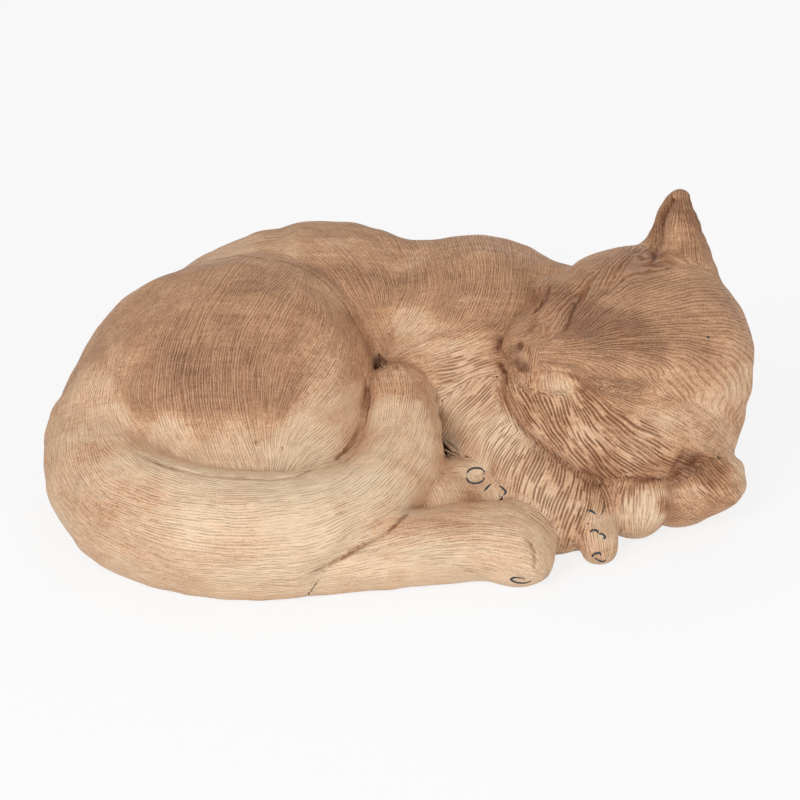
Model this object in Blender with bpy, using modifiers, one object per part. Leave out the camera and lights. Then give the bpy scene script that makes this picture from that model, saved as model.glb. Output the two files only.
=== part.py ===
"""A curled-up sleeping cat, carved in pale wood and 300 mm long, built from thirteen glued blocks.

Metres, +Z up. The cat lies on the plane z = 0 with its back along +Y, its head at +X and its
haunch at -X. Each block is modelled the way a carver roughs it out: round lumps and tapering
limbs are run together into one skin, and the blocks meet along the carving's own creases.
"""
import math

import bmesh
import bpy
from mathutils import Vector

# The space in a glued joint, and the block that saws the underside flat.
JOINT_GAP = 0.0003
GROUND_WIDTH = 0.600
GROUND_DEPTH = 0.080
SHARP_ANGLE = 40.0

# How fine the skin's mesh is on large, middle and small blocks and on the nose.
LARGE_MESH = 0.0115
MIDDLE_MESH = 0.0078
SMALL_MESH = 0.0048
FINE_MESH = 0.0028

# Easing the creases takes some of the skin off, so this much is laid on again.
HAUNCH_SWELL = 0.0012
TRUNK_SWELL = 0.0020
SHOULDER_SWELL = 0.0030
TAIL_SWELL = 0.0010
HEAD_SWELL = 0.0008
LEG_SWELL = 0.0008
SMALL_SWELL = 0.0004

# The haunch, a tilted egg that swells towards the knee.
HAUNCH_CENTRE = Vector((-0.074, 0.001, 0.043))
HAUNCH_LENGTH = 0.122
HAUNCH_DEPTH = 0.116
HAUNCH_HEIGHT = 0.104
HAUNCH_TILT = 4.0
KNEE_FORWARD = 0.018
KNEE_SIDE = 0.005
KNEE_RISE = 0.010
KNEE_LENGTH = 0.091
KNEE_DEPTH = 0.094
KNEE_HEIGHT = 0.093
SEAT_DROP = 0.020
SEAT_FORWARD = 0.005
SEAT_SIDE = -0.003
SEAT_LENGTH = 0.136
SEAT_DEPTH = 0.142
SEAT_HEIGHT = 0.064

# The trunk's stations along the spine: centre x, y, z and half the thickness there.
RUMP = (-0.085, 0.036, 0.0375, 0.0385)
LOIN = (-0.057, 0.044, 0.0455, 0.0435)
BACK = (-0.028, 0.046, 0.047, 0.0465)
WAIST = (0.004, 0.042, 0.042, 0.042)
BELLY_CENTRE = Vector((-0.008, 0.034, 0.022))
BELLY_LENGTH = 0.156
BELLY_DEPTH = 0.100
BELLY_HEIGHT = 0.068
LAP_CENTRE = Vector((0.014, -0.034, 0.000))
LAP_LENGTH = 0.100
LAP_DEPTH = 0.084
LAP_HEIGHT = 0.022

# The shoulder's stations, from behind the ribs to the neck under the head.
RIBS = (0.022, 0.035, 0.045, 0.044)
WITHERS = (0.034, 0.031, 0.047, 0.0475)
NECK = (0.058, 0.022, 0.046, 0.039)
CHEST_CENTRE = Vector((0.040, 0.016, 0.022))
CHEST_LENGTH = 0.098
CHEST_DEPTH = 0.086
CHEST_HEIGHT = 0.066

# The tail goes round the haunch. Its stations stand at these angles round the haunch's centre,
# in degrees from +X. For each, how far its centre stands off the haunch's outline, its height
# and half its thickness.
TAIL_TURNS = (168.0, 205.0, 234.5, 264.0, 290.5, 314.5, 335.0, 350.0)
TAIL_ROOT = (-0.031, 0.033, 0.0305)
TAIL_HIP = (-0.007, 0.031, 0.026)
TAIL_SIDE = (0.008, 0.027, 0.024)
TAIL_FRONT = (0.017, 0.0255, 0.0228)
TAIL_KNEE = (0.0245, 0.025, 0.0215)
TAIL_BEND = (0.027, 0.025, 0.019)
TAIL_RISE = (0.022, 0.033, 0.017)
TAIL_TIP = (0.014, 0.046, 0.015)
TAIL_FOOT_DROP = 0.0125
TAIL_FOOT_OUT = 0.004
TAIL_FOOT_THICK = 0.80

# The hind foot lies in front of the tail: stations as on the trunk, and its two outer toes.
HEEL = (-0.062, -0.084, 0.006, 0.009)
HOCK = (-0.036, -0.083, 0.010, 0.0125)
SOLE = (0.000, -0.076, 0.0135, 0.0155)
INSTEP = (0.030, -0.070, 0.0145, 0.0165)
HIND_TOES = (0.043, -0.068, 0.015, 0.0175)
FRONT_TOE = Vector((0.006, -0.0095, -0.006))
BACK_TOE = Vector((0.008, 0.003, -0.003))
TOE_LENGTH = 0.026
TOE_DEPTH = 0.023
TOE_HEIGHT = 0.022

# The second hind paw shows between the tail's tip and the foreleg.
INNER_PAW_HEEL = (0.002, -0.022, 0.013, 0.0115)
INNER_PAW_TOES = (0.028, -0.0225, 0.013, 0.0108)

# The near foreleg comes out from under the chin, and its paw hangs over the end.
ELBOW = (0.036, 0.006, 0.040, 0.023)
FOREARM = (0.050, -0.022, 0.030, 0.022)
WRIST = (0.062, -0.044, 0.020, 0.0205)
PAW_ROOT = (0.075, -0.047, 0.017, 0.015)
FOREPAW_BACK = (0.079, -0.048, 0.016, 0.0105)
FOREPAW_TOES = (0.0805, -0.0605, 0.0080, 0.0090)

# The far foreleg lies folded under the head, and its wrist swells in front of the cheek.
FAR_ELBOW = (0.062, 0.015, 0.024, 0.026)
FAR_FOREARM = (0.088, -0.022, 0.020, 0.022)
FAR_WRIST = (0.0965, -0.0425, 0.015, 0.0153)

# The head is made flat and then leant back about X. In its own frame +X runs from the nose
# to the crown, +Y to the upper ear and +Z out of the face's right side.
HEAD_CENTRE = Vector((0.098, -0.0015, 0.0580))
HEAD_LEAN = 60.0
SKULL_CENTRE = Vector((0.0008, 0.0, -0.002))
SKULL_LENGTH = 0.098
SKULL_WIDTH = 0.096
SKULL_DEPTH = 0.092
BRIDGE = (-0.008, 0.001, 0.024, 0.020)
NOSE_BRIDGE = (-0.030, 0.001, 0.027, 0.015)
MUZZLE = (-0.043, 0.001, 0.024, 0.0115)
BROW_CENTRE = Vector((-0.042, 0.012, 0.018))
BROW_SIZE = 0.026
LIP_CENTRE = Vector((-0.040, -0.012, 0.020))
LIP_SIZE = 0.028
CHEEK_CENTRE = Vector((-0.022, -0.027, 0.010))
CHEEK_LENGTH = 0.076
CHEEK_WIDTH = 0.048
CHEEK_DEPTH = 0.056
CHEEK_TURN = -24.0
JOWL_CENTRE = Vector((0.018, -0.034, 0.002))
JOWL_LENGTH = 0.058
JOWL_WIDTH = 0.043
JOWL_DEPTH = 0.051
NOSE_CENTRE = Vector((-0.0495, 0.0015, 0.0275))
NOSE_LENGTH = 0.012
NOSE_WIDTH = 0.015
NOSE_DEPTH = 0.013

# The ears' stations in the head's frame.
UPPER_EAR_BASE = (0.0213, 0.038, 0.000, 0.0135)
UPPER_EAR_MIDDLE = (0.0198, 0.055, 0.003, 0.0090)
UPPER_EAR_TIP = (0.018, 0.0690, 0.005, 0.0050)
UPPER_EAR_FOLD = (0.008, 0.040, -0.007, 0.0085)
UPPER_EAR_RIM = (0.012, 0.056, -0.006, 0.0055)
LOWER_EAR_BASE = (0.020, -0.044, 0.004, 0.015)
LOWER_EAR_MIDDLE = (0.034, -0.052, 0.002, 0.0095)
LOWER_EAR_TIP = (0.041, -0.053, 0.000, 0.005)
LOWER_EAR_LOBE = Vector((0.023, -0.053, 0.005))
LOBE_LENGTH = 0.040
LOBE_WIDTH = 0.026
LOBE_DEPTH = 0.022

# Thin bridges that the seats would leave are cut free: behind the tail's tip and the paw's root.
TRUNK_BRIDGE = Vector((0.0098, -0.0099, 0.0287))
TRUNK_BRIDGE_LENGTH = 0.009
TRUNK_BRIDGE_DEPTH = 0.011
TRUNK_BRIDGE_HEIGHT = 0.008
FORELEG_BRIDGE = Vector((0.0119, 0.0036, 0.0034))
FORELEG_BRIDGE_LENGTH = 0.007
FORELEG_BRIDGE_DEPTH = 0.007
FORELEG_BRIDGE_HEIGHT = 0.009


def clear_scene():
    """Removes what the file held before."""
    for old in list(bpy.data.objects):
        bpy.data.objects.remove(old, do_unlink=True)


def new_collection(name):
    """A collection in the scene, made once."""
    made = bpy.data.collections.get(name) or bpy.data.collections.new(name)
    if made.name not in bpy.context.scene.collection.children:
        bpy.context.scene.collection.children.link(made)
    return made


def wood(name, colour, roughness):
    """An oiled wood, one for each block, as the grain changes from block to block."""
    made = bpy.data.materials.new(name)
    made.use_nodes = True
    shader = made.node_tree.nodes["Principled BSDF"]
    shader.inputs["Base Color"].default_value = (*colour, 1.0)
    shader.inputs["Roughness"].default_value = roughness
    shader.inputs["Metallic"].default_value = 0.0
    return made


def lump(centre, length, depth, height, turn=(0.0, 0.0, 0.0)):
    """An egg of clay: a sphere stretched to its three sizes, turned in degrees and placed."""
    bpy.ops.mesh.primitive_uv_sphere_add(segments=32, ring_count=20, radius=0.5)
    egg = bpy.context.object
    egg.scale = (length, depth, height)
    egg.rotation_euler = [math.radians(angle) for angle in turn]
    egg.location = centre
    return egg


def limb(stations):
    """A tapering limb: a curve through its stations, as thick as they say, with round ends."""
    line = bpy.data.curves.new("limb", "CURVE")
    line.dimensions = "3D"
    line.bevel_depth = 1.0
    line.bevel_resolution = 6
    line.resolution_u = 8
    line.use_fill_caps = True
    spline = line.splines.new("BEZIER")
    spline.bezier_points.add(len(stations) - 1)
    for point, (x, y, z, half) in zip(spline.bezier_points, stations):
        point.co = (x, y, z)
        point.radius = half
        point.handle_left_type = "AUTO"
        point.handle_right_type = "AUTO"
    curve = bpy.data.objects.new("limb", line)
    bpy.context.scene.collection.objects.link(curve)
    bpy.context.view_layer.update()
    graph = bpy.context.evaluated_depsgraph_get()
    mesh = bpy.data.meshes.new_from_object(curve.evaluated_get(graph))
    welded = bmesh.new()
    welded.from_mesh(mesh)
    bmesh.ops.remove_doubles(welded, verts=welded.verts, dist=0.00001)
    bmesh.ops.recalc_face_normals(welded, faces=welded.faces)
    welded.to_mesh(mesh)
    welded.free()
    tube = bpy.data.objects.new("limb", mesh)
    tube.matrix_world = curve.matrix_world
    bpy.context.scene.collection.objects.link(tube)
    bpy.data.objects.remove(curve, do_unlink=True)
    x, y, z, half = stations[0]
    root = lump((x, y, z), 2 * half, 2 * half, 2 * half)
    x, y, z, half = stations[-1]
    tip = lump((x, y, z), 2 * half, 2 * half, 2 * half)
    return [tube, root, tip]


def join_clay(name, clay, mesh_size, rounds, swell, frame):
    """Runs lumps and limbs together into one eased skin and leaves it as a blank."""
    bpy.ops.object.select_all(action="DESELECT")
    for one in clay:
        one.select_set(True)
    bpy.context.view_layer.objects.active = clay[0]
    if len(clay) > 1:
        bpy.ops.object.join()
    blank = bpy.context.view_layer.objects.active
    bpy.ops.object.transform_apply(location=True, rotation=True, scale=True)
    blank.name = name
    skin = blank.modifiers.new("one skin", "REMESH")
    skin.mode = "VOXEL"
    skin.voxel_size = mesh_size
    skin.adaptivity = 0.0
    ease = blank.modifiers.new("soft creases", "SMOOTH")
    ease.factor = 0.5
    ease.iterations = rounds
    laid_on = blank.modifiers.new("swell", "DISPLACE")
    laid_on.direction = "NORMAL"
    laid_on.mid_level = 0.0
    laid_on.strength = swell
    facets = blank.modifiers.new("facets", "TRIANGULATE")
    facets.quad_method = "SHORTEST_DIAGONAL"
    if frame:
        blank.parent = frame
    bpy.context.view_layer.update()
    graph = bpy.context.evaluated_depsgraph_get()
    mesh = bpy.data.meshes.new_from_object(blank.evaluated_get(graph))
    blank.modifiers.clear()
    blank.data = mesh
    return blank


def cutter_of(blank, store):
    """The blank pushed out by the joint's gap, for cutting its seat in a neighbour."""
    cutter = bpy.data.objects.new("seat for " + blank.name, blank.data)
    store.objects.link(cutter)
    cutter.parent = blank.parent
    cutter.hide_render = True
    cutter.display_type = "WIRE"
    push = cutter.modifiers.new("joint gap", "DISPLACE")
    push.direction = "NORMAL"
    push.mid_level = 0.0
    push.strength = JOINT_GAP
    return cutter


def cut(block, cutter, solver):
    """Takes the cutter's shape out of a block."""
    seat = block.modifiers.new(cutter.name, "BOOLEAN")
    seat.operation = "DIFFERENCE"
    seat.solver = solver
    seat.object = cutter


def drop_chips(block):
    """Makes the cuts final and throws away the chips, so that one body is left."""
    graph = bpy.context.evaluated_depsgraph_get()
    mesh = bpy.data.meshes.new_from_object(block.evaluated_get(graph))
    block.modifiers.clear()
    block.data = mesh
    shape = bmesh.new()
    shape.from_mesh(mesh)
    unseen = set(shape.verts)
    bodies = []
    while unseen:
        body = [unseen.pop()]
        for vert in body:
            for edge in vert.link_edges:
                other = edge.other_vert(vert)
                if other in unseen:
                    unseen.remove(other)
                    body.append(other)
        bodies.append(body)
    bodies.sort(key=len)
    for chip in bodies[:-1]:
        bmesh.ops.delete(shape, geom=chip, context="VERTS")
    shape.to_mesh(mesh)
    shape.free()


def finish(block, material, parts):
    """Gives a block its wood, shades it smooth and files it with the parts."""
    block.data.materials.clear()
    block.data.materials.append(material)
    block.data.shade_smooth()
    block.data.set_sharp_from_angle(angle=math.radians(SHARP_ANGLE))
    for holder in list(block.users_collection):
        holder.objects.unlink(block)
    parts.objects.link(block)


def tail_station(angle, off, height, half, out=0.0, drop=0.0, share=1.0):
    """A point of the tail, by its angle round the haunch and its distance from it."""
    turn = math.radians(angle)
    across = HAUNCH_LENGTH / 2 + off + out
    along = HAUNCH_DEPTH / 2 + off + out
    x = HAUNCH_CENTRE.x + across * math.cos(turn)
    y = HAUNCH_CENTRE.y + along * math.sin(turn)
    return (x, y, height - drop, half * share)


def stand_on_origin(blocks):
    """Moves the finished blocks so that the middle of their box stands over the origin."""
    low = Vector((math.inf, math.inf, 0.0))
    high = Vector((-math.inf, -math.inf, 0.0))
    for block in blocks:
        for vert in block.data.vertices:
            at = block.matrix_world @ vert.co
            low = Vector((min(low.x, at.x), min(low.y, at.y), 0.0))
            high = Vector((max(high.x, at.x), max(high.y, at.y), 0.0))
    middle = (low + high) / 2
    for block in blocks:
        place = block.matrix_world.copy()
        place.translation -= middle
        block.parent = None
        block.matrix_world = place


def haunch_clay():
    """The thigh and rump that fill the photograph's left side."""
    thigh = lump(HAUNCH_CENTRE, HAUNCH_LENGTH, HAUNCH_DEPTH, HAUNCH_HEIGHT, (0, HAUNCH_TILT, 0))
    knee_at = HAUNCH_CENTRE + Vector((KNEE_FORWARD, KNEE_SIDE, KNEE_RISE))
    knee = lump(knee_at, KNEE_LENGTH, KNEE_DEPTH, KNEE_HEIGHT)
    seat_at = HAUNCH_CENTRE + Vector((SEAT_FORWARD, SEAT_SIDE, -SEAT_DROP))
    seat = lump(seat_at, SEAT_LENGTH, SEAT_DEPTH, SEAT_HEIGHT)
    return [thigh, knee, seat]


def trunk_clay():
    """The back from rump to waist, the belly on the ground and the lap in front of it."""
    belly = lump(BELLY_CENTRE, BELLY_LENGTH, BELLY_DEPTH, BELLY_HEIGHT)
    lap = lump(LAP_CENTRE, LAP_LENGTH, LAP_DEPTH, LAP_HEIGHT)
    return limb([RUMP, LOIN, BACK, WAIST]) + [belly, lap]


def shoulder_clay():
    """The hump of the shoulder blades, with the chest under it."""
    chest = lump(CHEST_CENTRE, CHEST_LENGTH, CHEST_DEPTH, CHEST_HEIGHT)
    return limb([RIBS, WITHERS, NECK]) + [chest]


def tail_clay():
    """The tail from its root round to the tip, and the lower half that it rests on."""
    sizes = [TAIL_ROOT, TAIL_HIP, TAIL_SIDE, TAIL_FRONT, TAIL_KNEE, TAIL_BEND, TAIL_RISE, TAIL_TIP]
    line = []
    low = []
    for angle, size in zip(TAIL_TURNS, sizes):
        line.append(tail_station(angle, *size))
        low.append(tail_station(angle, *size, TAIL_FOOT_OUT, TAIL_FOOT_DROP, TAIL_FOOT_THICK))
    hip = sizes.index(TAIL_HIP)
    knee = sizes.index(TAIL_KNEE)
    return limb(line) + limb(low[hip:knee + 1])


def hind_foot_clay():
    """The long hind foot with its two outer toes."""
    toes_at = Vector(HIND_TOES[:3])
    front = lump(toes_at + FRONT_TOE, TOE_LENGTH, TOE_DEPTH, TOE_HEIGHT)
    back = lump(toes_at + BACK_TOE, TOE_LENGTH, TOE_DEPTH, TOE_HEIGHT)
    return limb([HEEL, HOCK, SOLE, INSTEP, HIND_TOES]) + [front, back]


def head_clay():
    """The skull with its muzzle, brow, lip, cheek and jowl."""
    skull = lump(SKULL_CENTRE, SKULL_LENGTH, SKULL_WIDTH, SKULL_DEPTH)
    brow = lump(BROW_CENTRE, BROW_SIZE, BROW_SIZE, BROW_SIZE)
    lip = lump(LIP_CENTRE, LIP_SIZE, LIP_SIZE, LIP_SIZE)
    cheek = lump(CHEEK_CENTRE, CHEEK_LENGTH, CHEEK_WIDTH, CHEEK_DEPTH, (0, 0, CHEEK_TURN))
    jowl = lump(JOWL_CENTRE, JOWL_LENGTH, JOWL_WIDTH, JOWL_DEPTH)
    return [skull, brow, lip, cheek, jowl] + limb([BRIDGE, NOSE_BRIDGE, MUZZLE])


def lower_ear_clay():
    """The ear that is pressed flat under the head."""
    lobe = lump(LOWER_EAR_LOBE, LOBE_LENGTH, LOBE_WIDTH, LOBE_DEPTH)
    return limb([LOWER_EAR_BASE, LOWER_EAR_MIDDLE, LOWER_EAR_TIP]) + [lobe]


def upper_ear_clay():
    """The pricked ear, with the fold that runs from its rim down to the forehead."""
    fold = limb([UPPER_EAR_FOLD, UPPER_EAR_RIM])
    return limb([UPPER_EAR_BASE, UPPER_EAR_MIDDLE, UPPER_EAR_TIP]) + fold


def bridge_cutter(centre, length, depth, height, store):
    """An egg that cuts a thin bridge free between two seats."""
    egg = lump(centre, length, depth, height)
    bpy.ops.object.transform_apply(location=True, rotation=True, scale=True)
    egg.name = "bridge cutter"
    for holder in list(egg.users_collection):
        holder.objects.unlink(egg)
    store.objects.link(egg)
    egg.hide_render = True
    egg.display_type = "WIRE"
    return egg


def ground_block(store):
    """The block below z = 0 that saws every underside flat."""
    bpy.ops.mesh.primitive_cube_add(size=1.0)
    ground = bpy.context.object
    ground.name = "ground"
    ground.scale = (GROUND_WIDTH, GROUND_WIDTH, GROUND_DEPTH)
    ground.location = (0.0, 0.0, -GROUND_DEPTH / 2)
    bpy.ops.object.transform_apply(location=True, rotation=True, scale=True)
    for holder in list(ground.users_collection):
        holder.objects.unlink(ground)
    store.objects.link(ground)
    ground.hide_render = True
    ground.display_type = "WIRE"
    return ground


def build():
    """Makes every block, then cuts each one round the blocks that lie over it."""
    clear_scene()
    parts = new_collection("wooden sleeping cat")
    cutters = new_collection("cutters")
    frame = bpy.data.objects.new("head frame", None)
    frame.location = HEAD_CENTRE
    frame.rotation_euler = (math.radians(HEAD_LEAN), 0.0, 0.0)
    parts.objects.link(frame)

    blanks = {}
    blanks["haunch"] = join_clay("haunch", haunch_clay(), LARGE_MESH, 3, HAUNCH_SWELL, None)
    blanks["trunk"] = join_clay("trunk", trunk_clay(), LARGE_MESH, 3, TRUNK_SWELL, None)
    blanks["shoulder"] = join_clay("shoulder", shoulder_clay(), LARGE_MESH, 3, SHOULDER_SWELL, None)
    blanks["tail"] = join_clay("tail", tail_clay(), MIDDLE_MESH, 3, TAIL_SWELL, None)
    blanks["hind_foot"] = join_clay("hind_foot", hind_foot_clay(), SMALL_MESH, 1, SMALL_SWELL, None)
    inner = limb([INNER_PAW_HEEL, INNER_PAW_TOES])
    blanks["inner_hind_paw"] = join_clay("inner_hind_paw", inner, SMALL_MESH, 1, SMALL_SWELL, None)
    near = limb([ELBOW, FOREARM, WRIST, PAW_ROOT])
    blanks["near_foreleg"] = join_clay("near_foreleg", near, MIDDLE_MESH, 1, LEG_SWELL, None)
    paw = limb([FOREPAW_BACK, FOREPAW_TOES])
    blanks["near_forepaw"] = join_clay("near_forepaw", paw, SMALL_MESH, 1, SMALL_SWELL, None)
    far = limb([FAR_ELBOW, FAR_FOREARM, FAR_WRIST])
    blanks["far_foreleg"] = join_clay("far_foreleg", far, MIDDLE_MESH, 1, LEG_SWELL, None)
    blanks["head"] = join_clay("head", head_clay(), MIDDLE_MESH, 3, HEAD_SWELL, frame)
    nose = [lump(NOSE_CENTRE, NOSE_LENGTH, NOSE_WIDTH, NOSE_DEPTH)]
    blanks["nose"] = join_clay("nose", nose, FINE_MESH, 1, SMALL_SWELL, frame)
    blanks["upper_ear"] = join_clay("upper_ear", upper_ear_clay(), SMALL_MESH, 1, SMALL_SWELL, frame)
    blanks["lower_ear"] = join_clay("lower_ear", lower_ear_clay(), SMALL_MESH, 1, SMALL_SWELL, frame)

    # Each block keeps its shape where it meets a block that stands later in this order.
    order = ["haunch", "nose", "head", "tail", "hind_foot", "near_forepaw", "near_foreleg",
             "far_foreleg", "upper_ear", "lower_ear", "inner_hind_paw", "shoulder", "trunk"]
    stands = ["haunch", "tail", "trunk", "shoulder", "hind_foot", "near_foreleg", "near_forepaw",
              "far_foreleg", "inner_hind_paw"]
    woods = {
        "haunch": wood("wood_haunch", (0.478, 0.287, 0.160), 0.62),
        "trunk": wood("wood_trunk", (0.520, 0.318, 0.180), 0.62),
        "shoulder": wood("wood_shoulder", (0.500, 0.300, 0.168), 0.62),
        "tail": wood("wood_tail", (0.610, 0.405, 0.245), 0.62),
        "hind_foot": wood("wood_hind_foot", (0.640, 0.430, 0.262), 0.62),
        "inner_hind_paw": wood("wood_inner_hind_paw", (0.590, 0.372, 0.220), 0.62),
        "near_foreleg": wood("wood_near_foreleg", (0.560, 0.352, 0.205), 0.62),
        "near_forepaw": wood("wood_near_forepaw", (0.540, 0.330, 0.190), 0.62),
        "far_foreleg": wood("wood_far_foreleg", (0.600, 0.392, 0.236), 0.62),
        "head": wood("wood_head", (0.450, 0.262, 0.146), 0.60),
        "nose": wood("wood_nose", (0.420, 0.225, 0.120), 0.60),
        "upper_ear": wood("wood_upper_ear", (0.430, 0.245, 0.135), 0.62),
        "lower_ear": wood("wood_lower_ear", (0.470, 0.285, 0.165), 0.62),
    }

    # The exact solver loses a block that many neighbours cut, so those take the other one.
    cut_often = ["near_foreleg", "far_foreleg", "shoulder", "trunk"]

    ground = ground_block(cutters)
    seats = {name: cutter_of(blanks[name], cutters) for name in order}
    for place, name in enumerate(order):
        solver = "MANIFOLD" if name in cut_often else "EXACT"
        for over in order[:place]:
            cut(blanks[name], seats[over], solver)
        if name in stands:
            cut(blanks[name], ground, solver)
    haunch_side = Vector((HAUNCH_CENTRE.x + HAUNCH_LENGTH / 2, HAUNCH_CENTRE.y, 0.0))
    bridge = bridge_cutter(haunch_side + TRUNK_BRIDGE, TRUNK_BRIDGE_LENGTH, TRUNK_BRIDGE_DEPTH,
                           TRUNK_BRIDGE_HEIGHT, cutters)
    cut(blanks["trunk"], bridge, "MANIFOLD")
    bridge = bridge_cutter(Vector(PAW_ROOT[:3]) + FORELEG_BRIDGE, FORELEG_BRIDGE_LENGTH,
                           FORELEG_BRIDGE_DEPTH, FORELEG_BRIDGE_HEIGHT, cutters)
    cut(blanks["near_foreleg"], bridge, "MANIFOLD")
    bpy.context.view_layer.update()
    for name in order:
        drop_chips(blanks[name])
        finish(blanks[name], woods[name], parts)
    stand_on_origin([blanks[name] for name in order])


build()
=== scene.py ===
"""A sleeping cat carved in pale wood, dressed on the frame of its thirteen blocks.

The blocks are shaped as the carver shapes them: round lumps and tapering limbs are run together
into one body, creases and folds are cut into it with the knife, and the body is parted again
into its blocks along the creases. The forms are given in millimetres, and the rest in metres.
"""
import concurrent.futures
import functools
import math

import bpy
import numpy as np
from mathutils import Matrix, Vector


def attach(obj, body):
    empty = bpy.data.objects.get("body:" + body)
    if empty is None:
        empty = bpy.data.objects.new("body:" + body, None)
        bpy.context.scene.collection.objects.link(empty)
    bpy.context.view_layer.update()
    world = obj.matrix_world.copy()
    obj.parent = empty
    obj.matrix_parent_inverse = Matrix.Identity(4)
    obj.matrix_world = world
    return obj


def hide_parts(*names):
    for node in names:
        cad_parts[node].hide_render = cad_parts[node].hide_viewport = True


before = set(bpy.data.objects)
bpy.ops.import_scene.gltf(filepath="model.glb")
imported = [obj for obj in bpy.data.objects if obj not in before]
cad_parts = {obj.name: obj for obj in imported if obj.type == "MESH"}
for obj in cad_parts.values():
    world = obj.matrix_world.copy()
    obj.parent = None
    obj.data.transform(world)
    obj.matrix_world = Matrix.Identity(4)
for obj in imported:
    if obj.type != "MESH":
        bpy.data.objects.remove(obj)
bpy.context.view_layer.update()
scene = bpy.context.scene

# Camera. It stands 1.2 m from the carving and looks 30 degrees down on it from its feet.
MM = 0.001
box_middle = np.array([-1.0, -3.8, 0.0])
camera_tilt = math.radians(30)
camera_distance = 1200.0
camera_aim = np.array([0.0, 0.0, 38.6])
carving_length = 300.0
length_in_pixels = 712.0
picture_size = 800.0
pixels_per_slope = length_in_pixels / carving_length * camera_distance

look = np.array([0.0, math.cos(camera_tilt), -math.sin(camera_tilt)])
upward = np.array([0.0, math.sin(camera_tilt), math.cos(camera_tilt)])
camera_at = camera_aim - look * camera_distance

camera_data = bpy.data.cameras.new("camera")
camera_data.sensor_width = 36.0
camera_data.lens = camera_data.sensor_width * pixels_per_slope / picture_size
camera_data.dof.use_dof = False
camera = bpy.data.objects.new("camera", camera_data)
camera.location = Vector((camera_at - box_middle) * MM)
camera.rotation_euler = (math.pi / 2 - camera_tilt, 0.0, 0.0)
scene.collection.objects.link(camera)
scene.camera = camera
scene.view_settings.view_transform = "Standard"


# The haunch: the thigh and rump, the largest block, carved as one swelling egg. Its fur is cut
# in long strokes that fall from the back like the lines on a globe and meet at the tail.
def egg(p, centre, half, turn=0.0):
    """How far points lie outside a stretched ball, tilted about Y or turned about Z."""
    d = p - np.asarray(centre, p.dtype)
    if turn:
        c, s = math.cos(math.radians(turn)), math.sin(math.radians(turn))
        d = np.stack([d[:, 0] * c + d[:, 1] * s, d[:, 1] * c - d[:, 0] * s, d[:, 2]], 1)
    half = np.asarray(half, p.dtype)
    near = d / half
    size = np.sqrt((near * near).sum(1))
    slope = near / half
    return size * (size - 1) / np.maximum(np.sqrt((slope * slope).sum(1)), 1e-6)


@functools.lru_cache(maxsize=None)
def smooth_route(stations, steps):
    """Stations of x, y, z and half thickness, with more between them on a smooth curve."""
    s = np.asarray(stations, float)
    s = np.vstack([s[:1], s, s[-1:]])
    rows = []
    for i in range(1, len(s) - 2):
        a, b, c, d = s[i - 1:i + 3]
        for t in np.arange(steps) / steps:
            rows.append(0.5 * (2 * b + (c - a) * t + (2 * a - 5 * b + 4 * c - d) * t * t
                               + (3 * b - a - 3 * c + d) * t ** 3))
    rows.append(s[-2])
    return np.array(rows, np.float32)


def along(p, route):
    """How far points lie outside a route of straight steps, with its half thickness."""
    best = np.full(len(p), 1e6, np.float32)
    for a, b in zip(route[:-1], route[1:]):
        run = b[:3] - a[:3]
        off = p - a[:3]
        t = np.clip(off @ run / max(float(run @ run), 1e-9), 0, 1)
        off -= t[:, None] * run
        reach = np.sqrt((off * off).sum(1)) - (a[3] + t * (b[3] - a[3]))
        best = np.minimum(best, reach)
    return best


def limb(p, stations, steps=3):
    """How far points lie outside a tapering limb through its stations."""
    return along(p, smooth_route(tuple(stations), steps))


def join(a, b, soft):
    """Two forms run together, with the crease between them filled to the softness in mm."""
    h = np.clip(0.5 + 0.5 * (b - a) / soft, 0, 1)
    return b + (a - b) * h - soft * h * (1 - h)


def haunch_form(p):
    thigh = egg(p, (-74, 1, 43), (61, 58, 52))
    knee = egg(p, (-56, 6, 53), (42, 44, 43))
    seat = egg(p, (-69, -2, 23), (68, 71, 32))
    return join(join(thigh, knee, 16), seat, 6)


# Fur lines run through pixels of the photograph, the way that the fur lies. A tone dab gives a
# pixel, a size in pixels and how brown the wood is there, from 0 for cream to 1.3 for brown.
forms = {"haunch": haunch_form}
fur_lines = {}
tone_dabs = {}
fur_lines["haunch"] = [
    [(150, 292), (102, 350), (76, 410), (66, 446)],
    [(175, 280), (135, 340), (120, 400), (140, 450)],
    [(205, 275), (170, 335), (160, 400), (172, 440), (190, 470)],
    [(235, 290), (205, 350), (200, 400), (212, 450), (225, 475)],
    [(262, 300), (238, 345), (236, 400), (248, 440), (262, 475)],
    [(300, 315), (272, 360), (266, 410), (271, 470)],
    [(322, 290), (335, 320), (326, 350), (300, 390), (285, 430), (277, 474)],
    [(345, 325), (348, 350), (335, 385), (305, 425), (284, 470)],
    [(362, 365), (352, 400), (330, 425), (300, 445)],
    [(354, 430), (335, 450), (300, 470)],
    [(290, 268), (270, 285)],
]
tone_dabs["haunch"] = [
    (84, 392, 20, 0.46), (112, 350, 20, 0.8), (150, 312, 26, 0.82), (235, 288, 35, 0.84),
    (318, 300, 30, 0.8), (172, 356, 24, 1.12), (225, 352, 30, 1.03), (292, 352, 26, 0.92),
    (205, 385, 24, 1), (262, 384, 24, 0.95), (322, 382, 18, 0.55), (145, 405, 16, 0.84),
    (112, 425, 18, 0.44), (205, 412, 18, 0.82), (262, 414, 18, 0.7), (322, 412, 16, 0.22),
    (170, 442, 20, 0.3), (232, 445, 20, 0.32), (300, 442, 22, 0.06), (352, 405, 12, 0.3),
]


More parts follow.
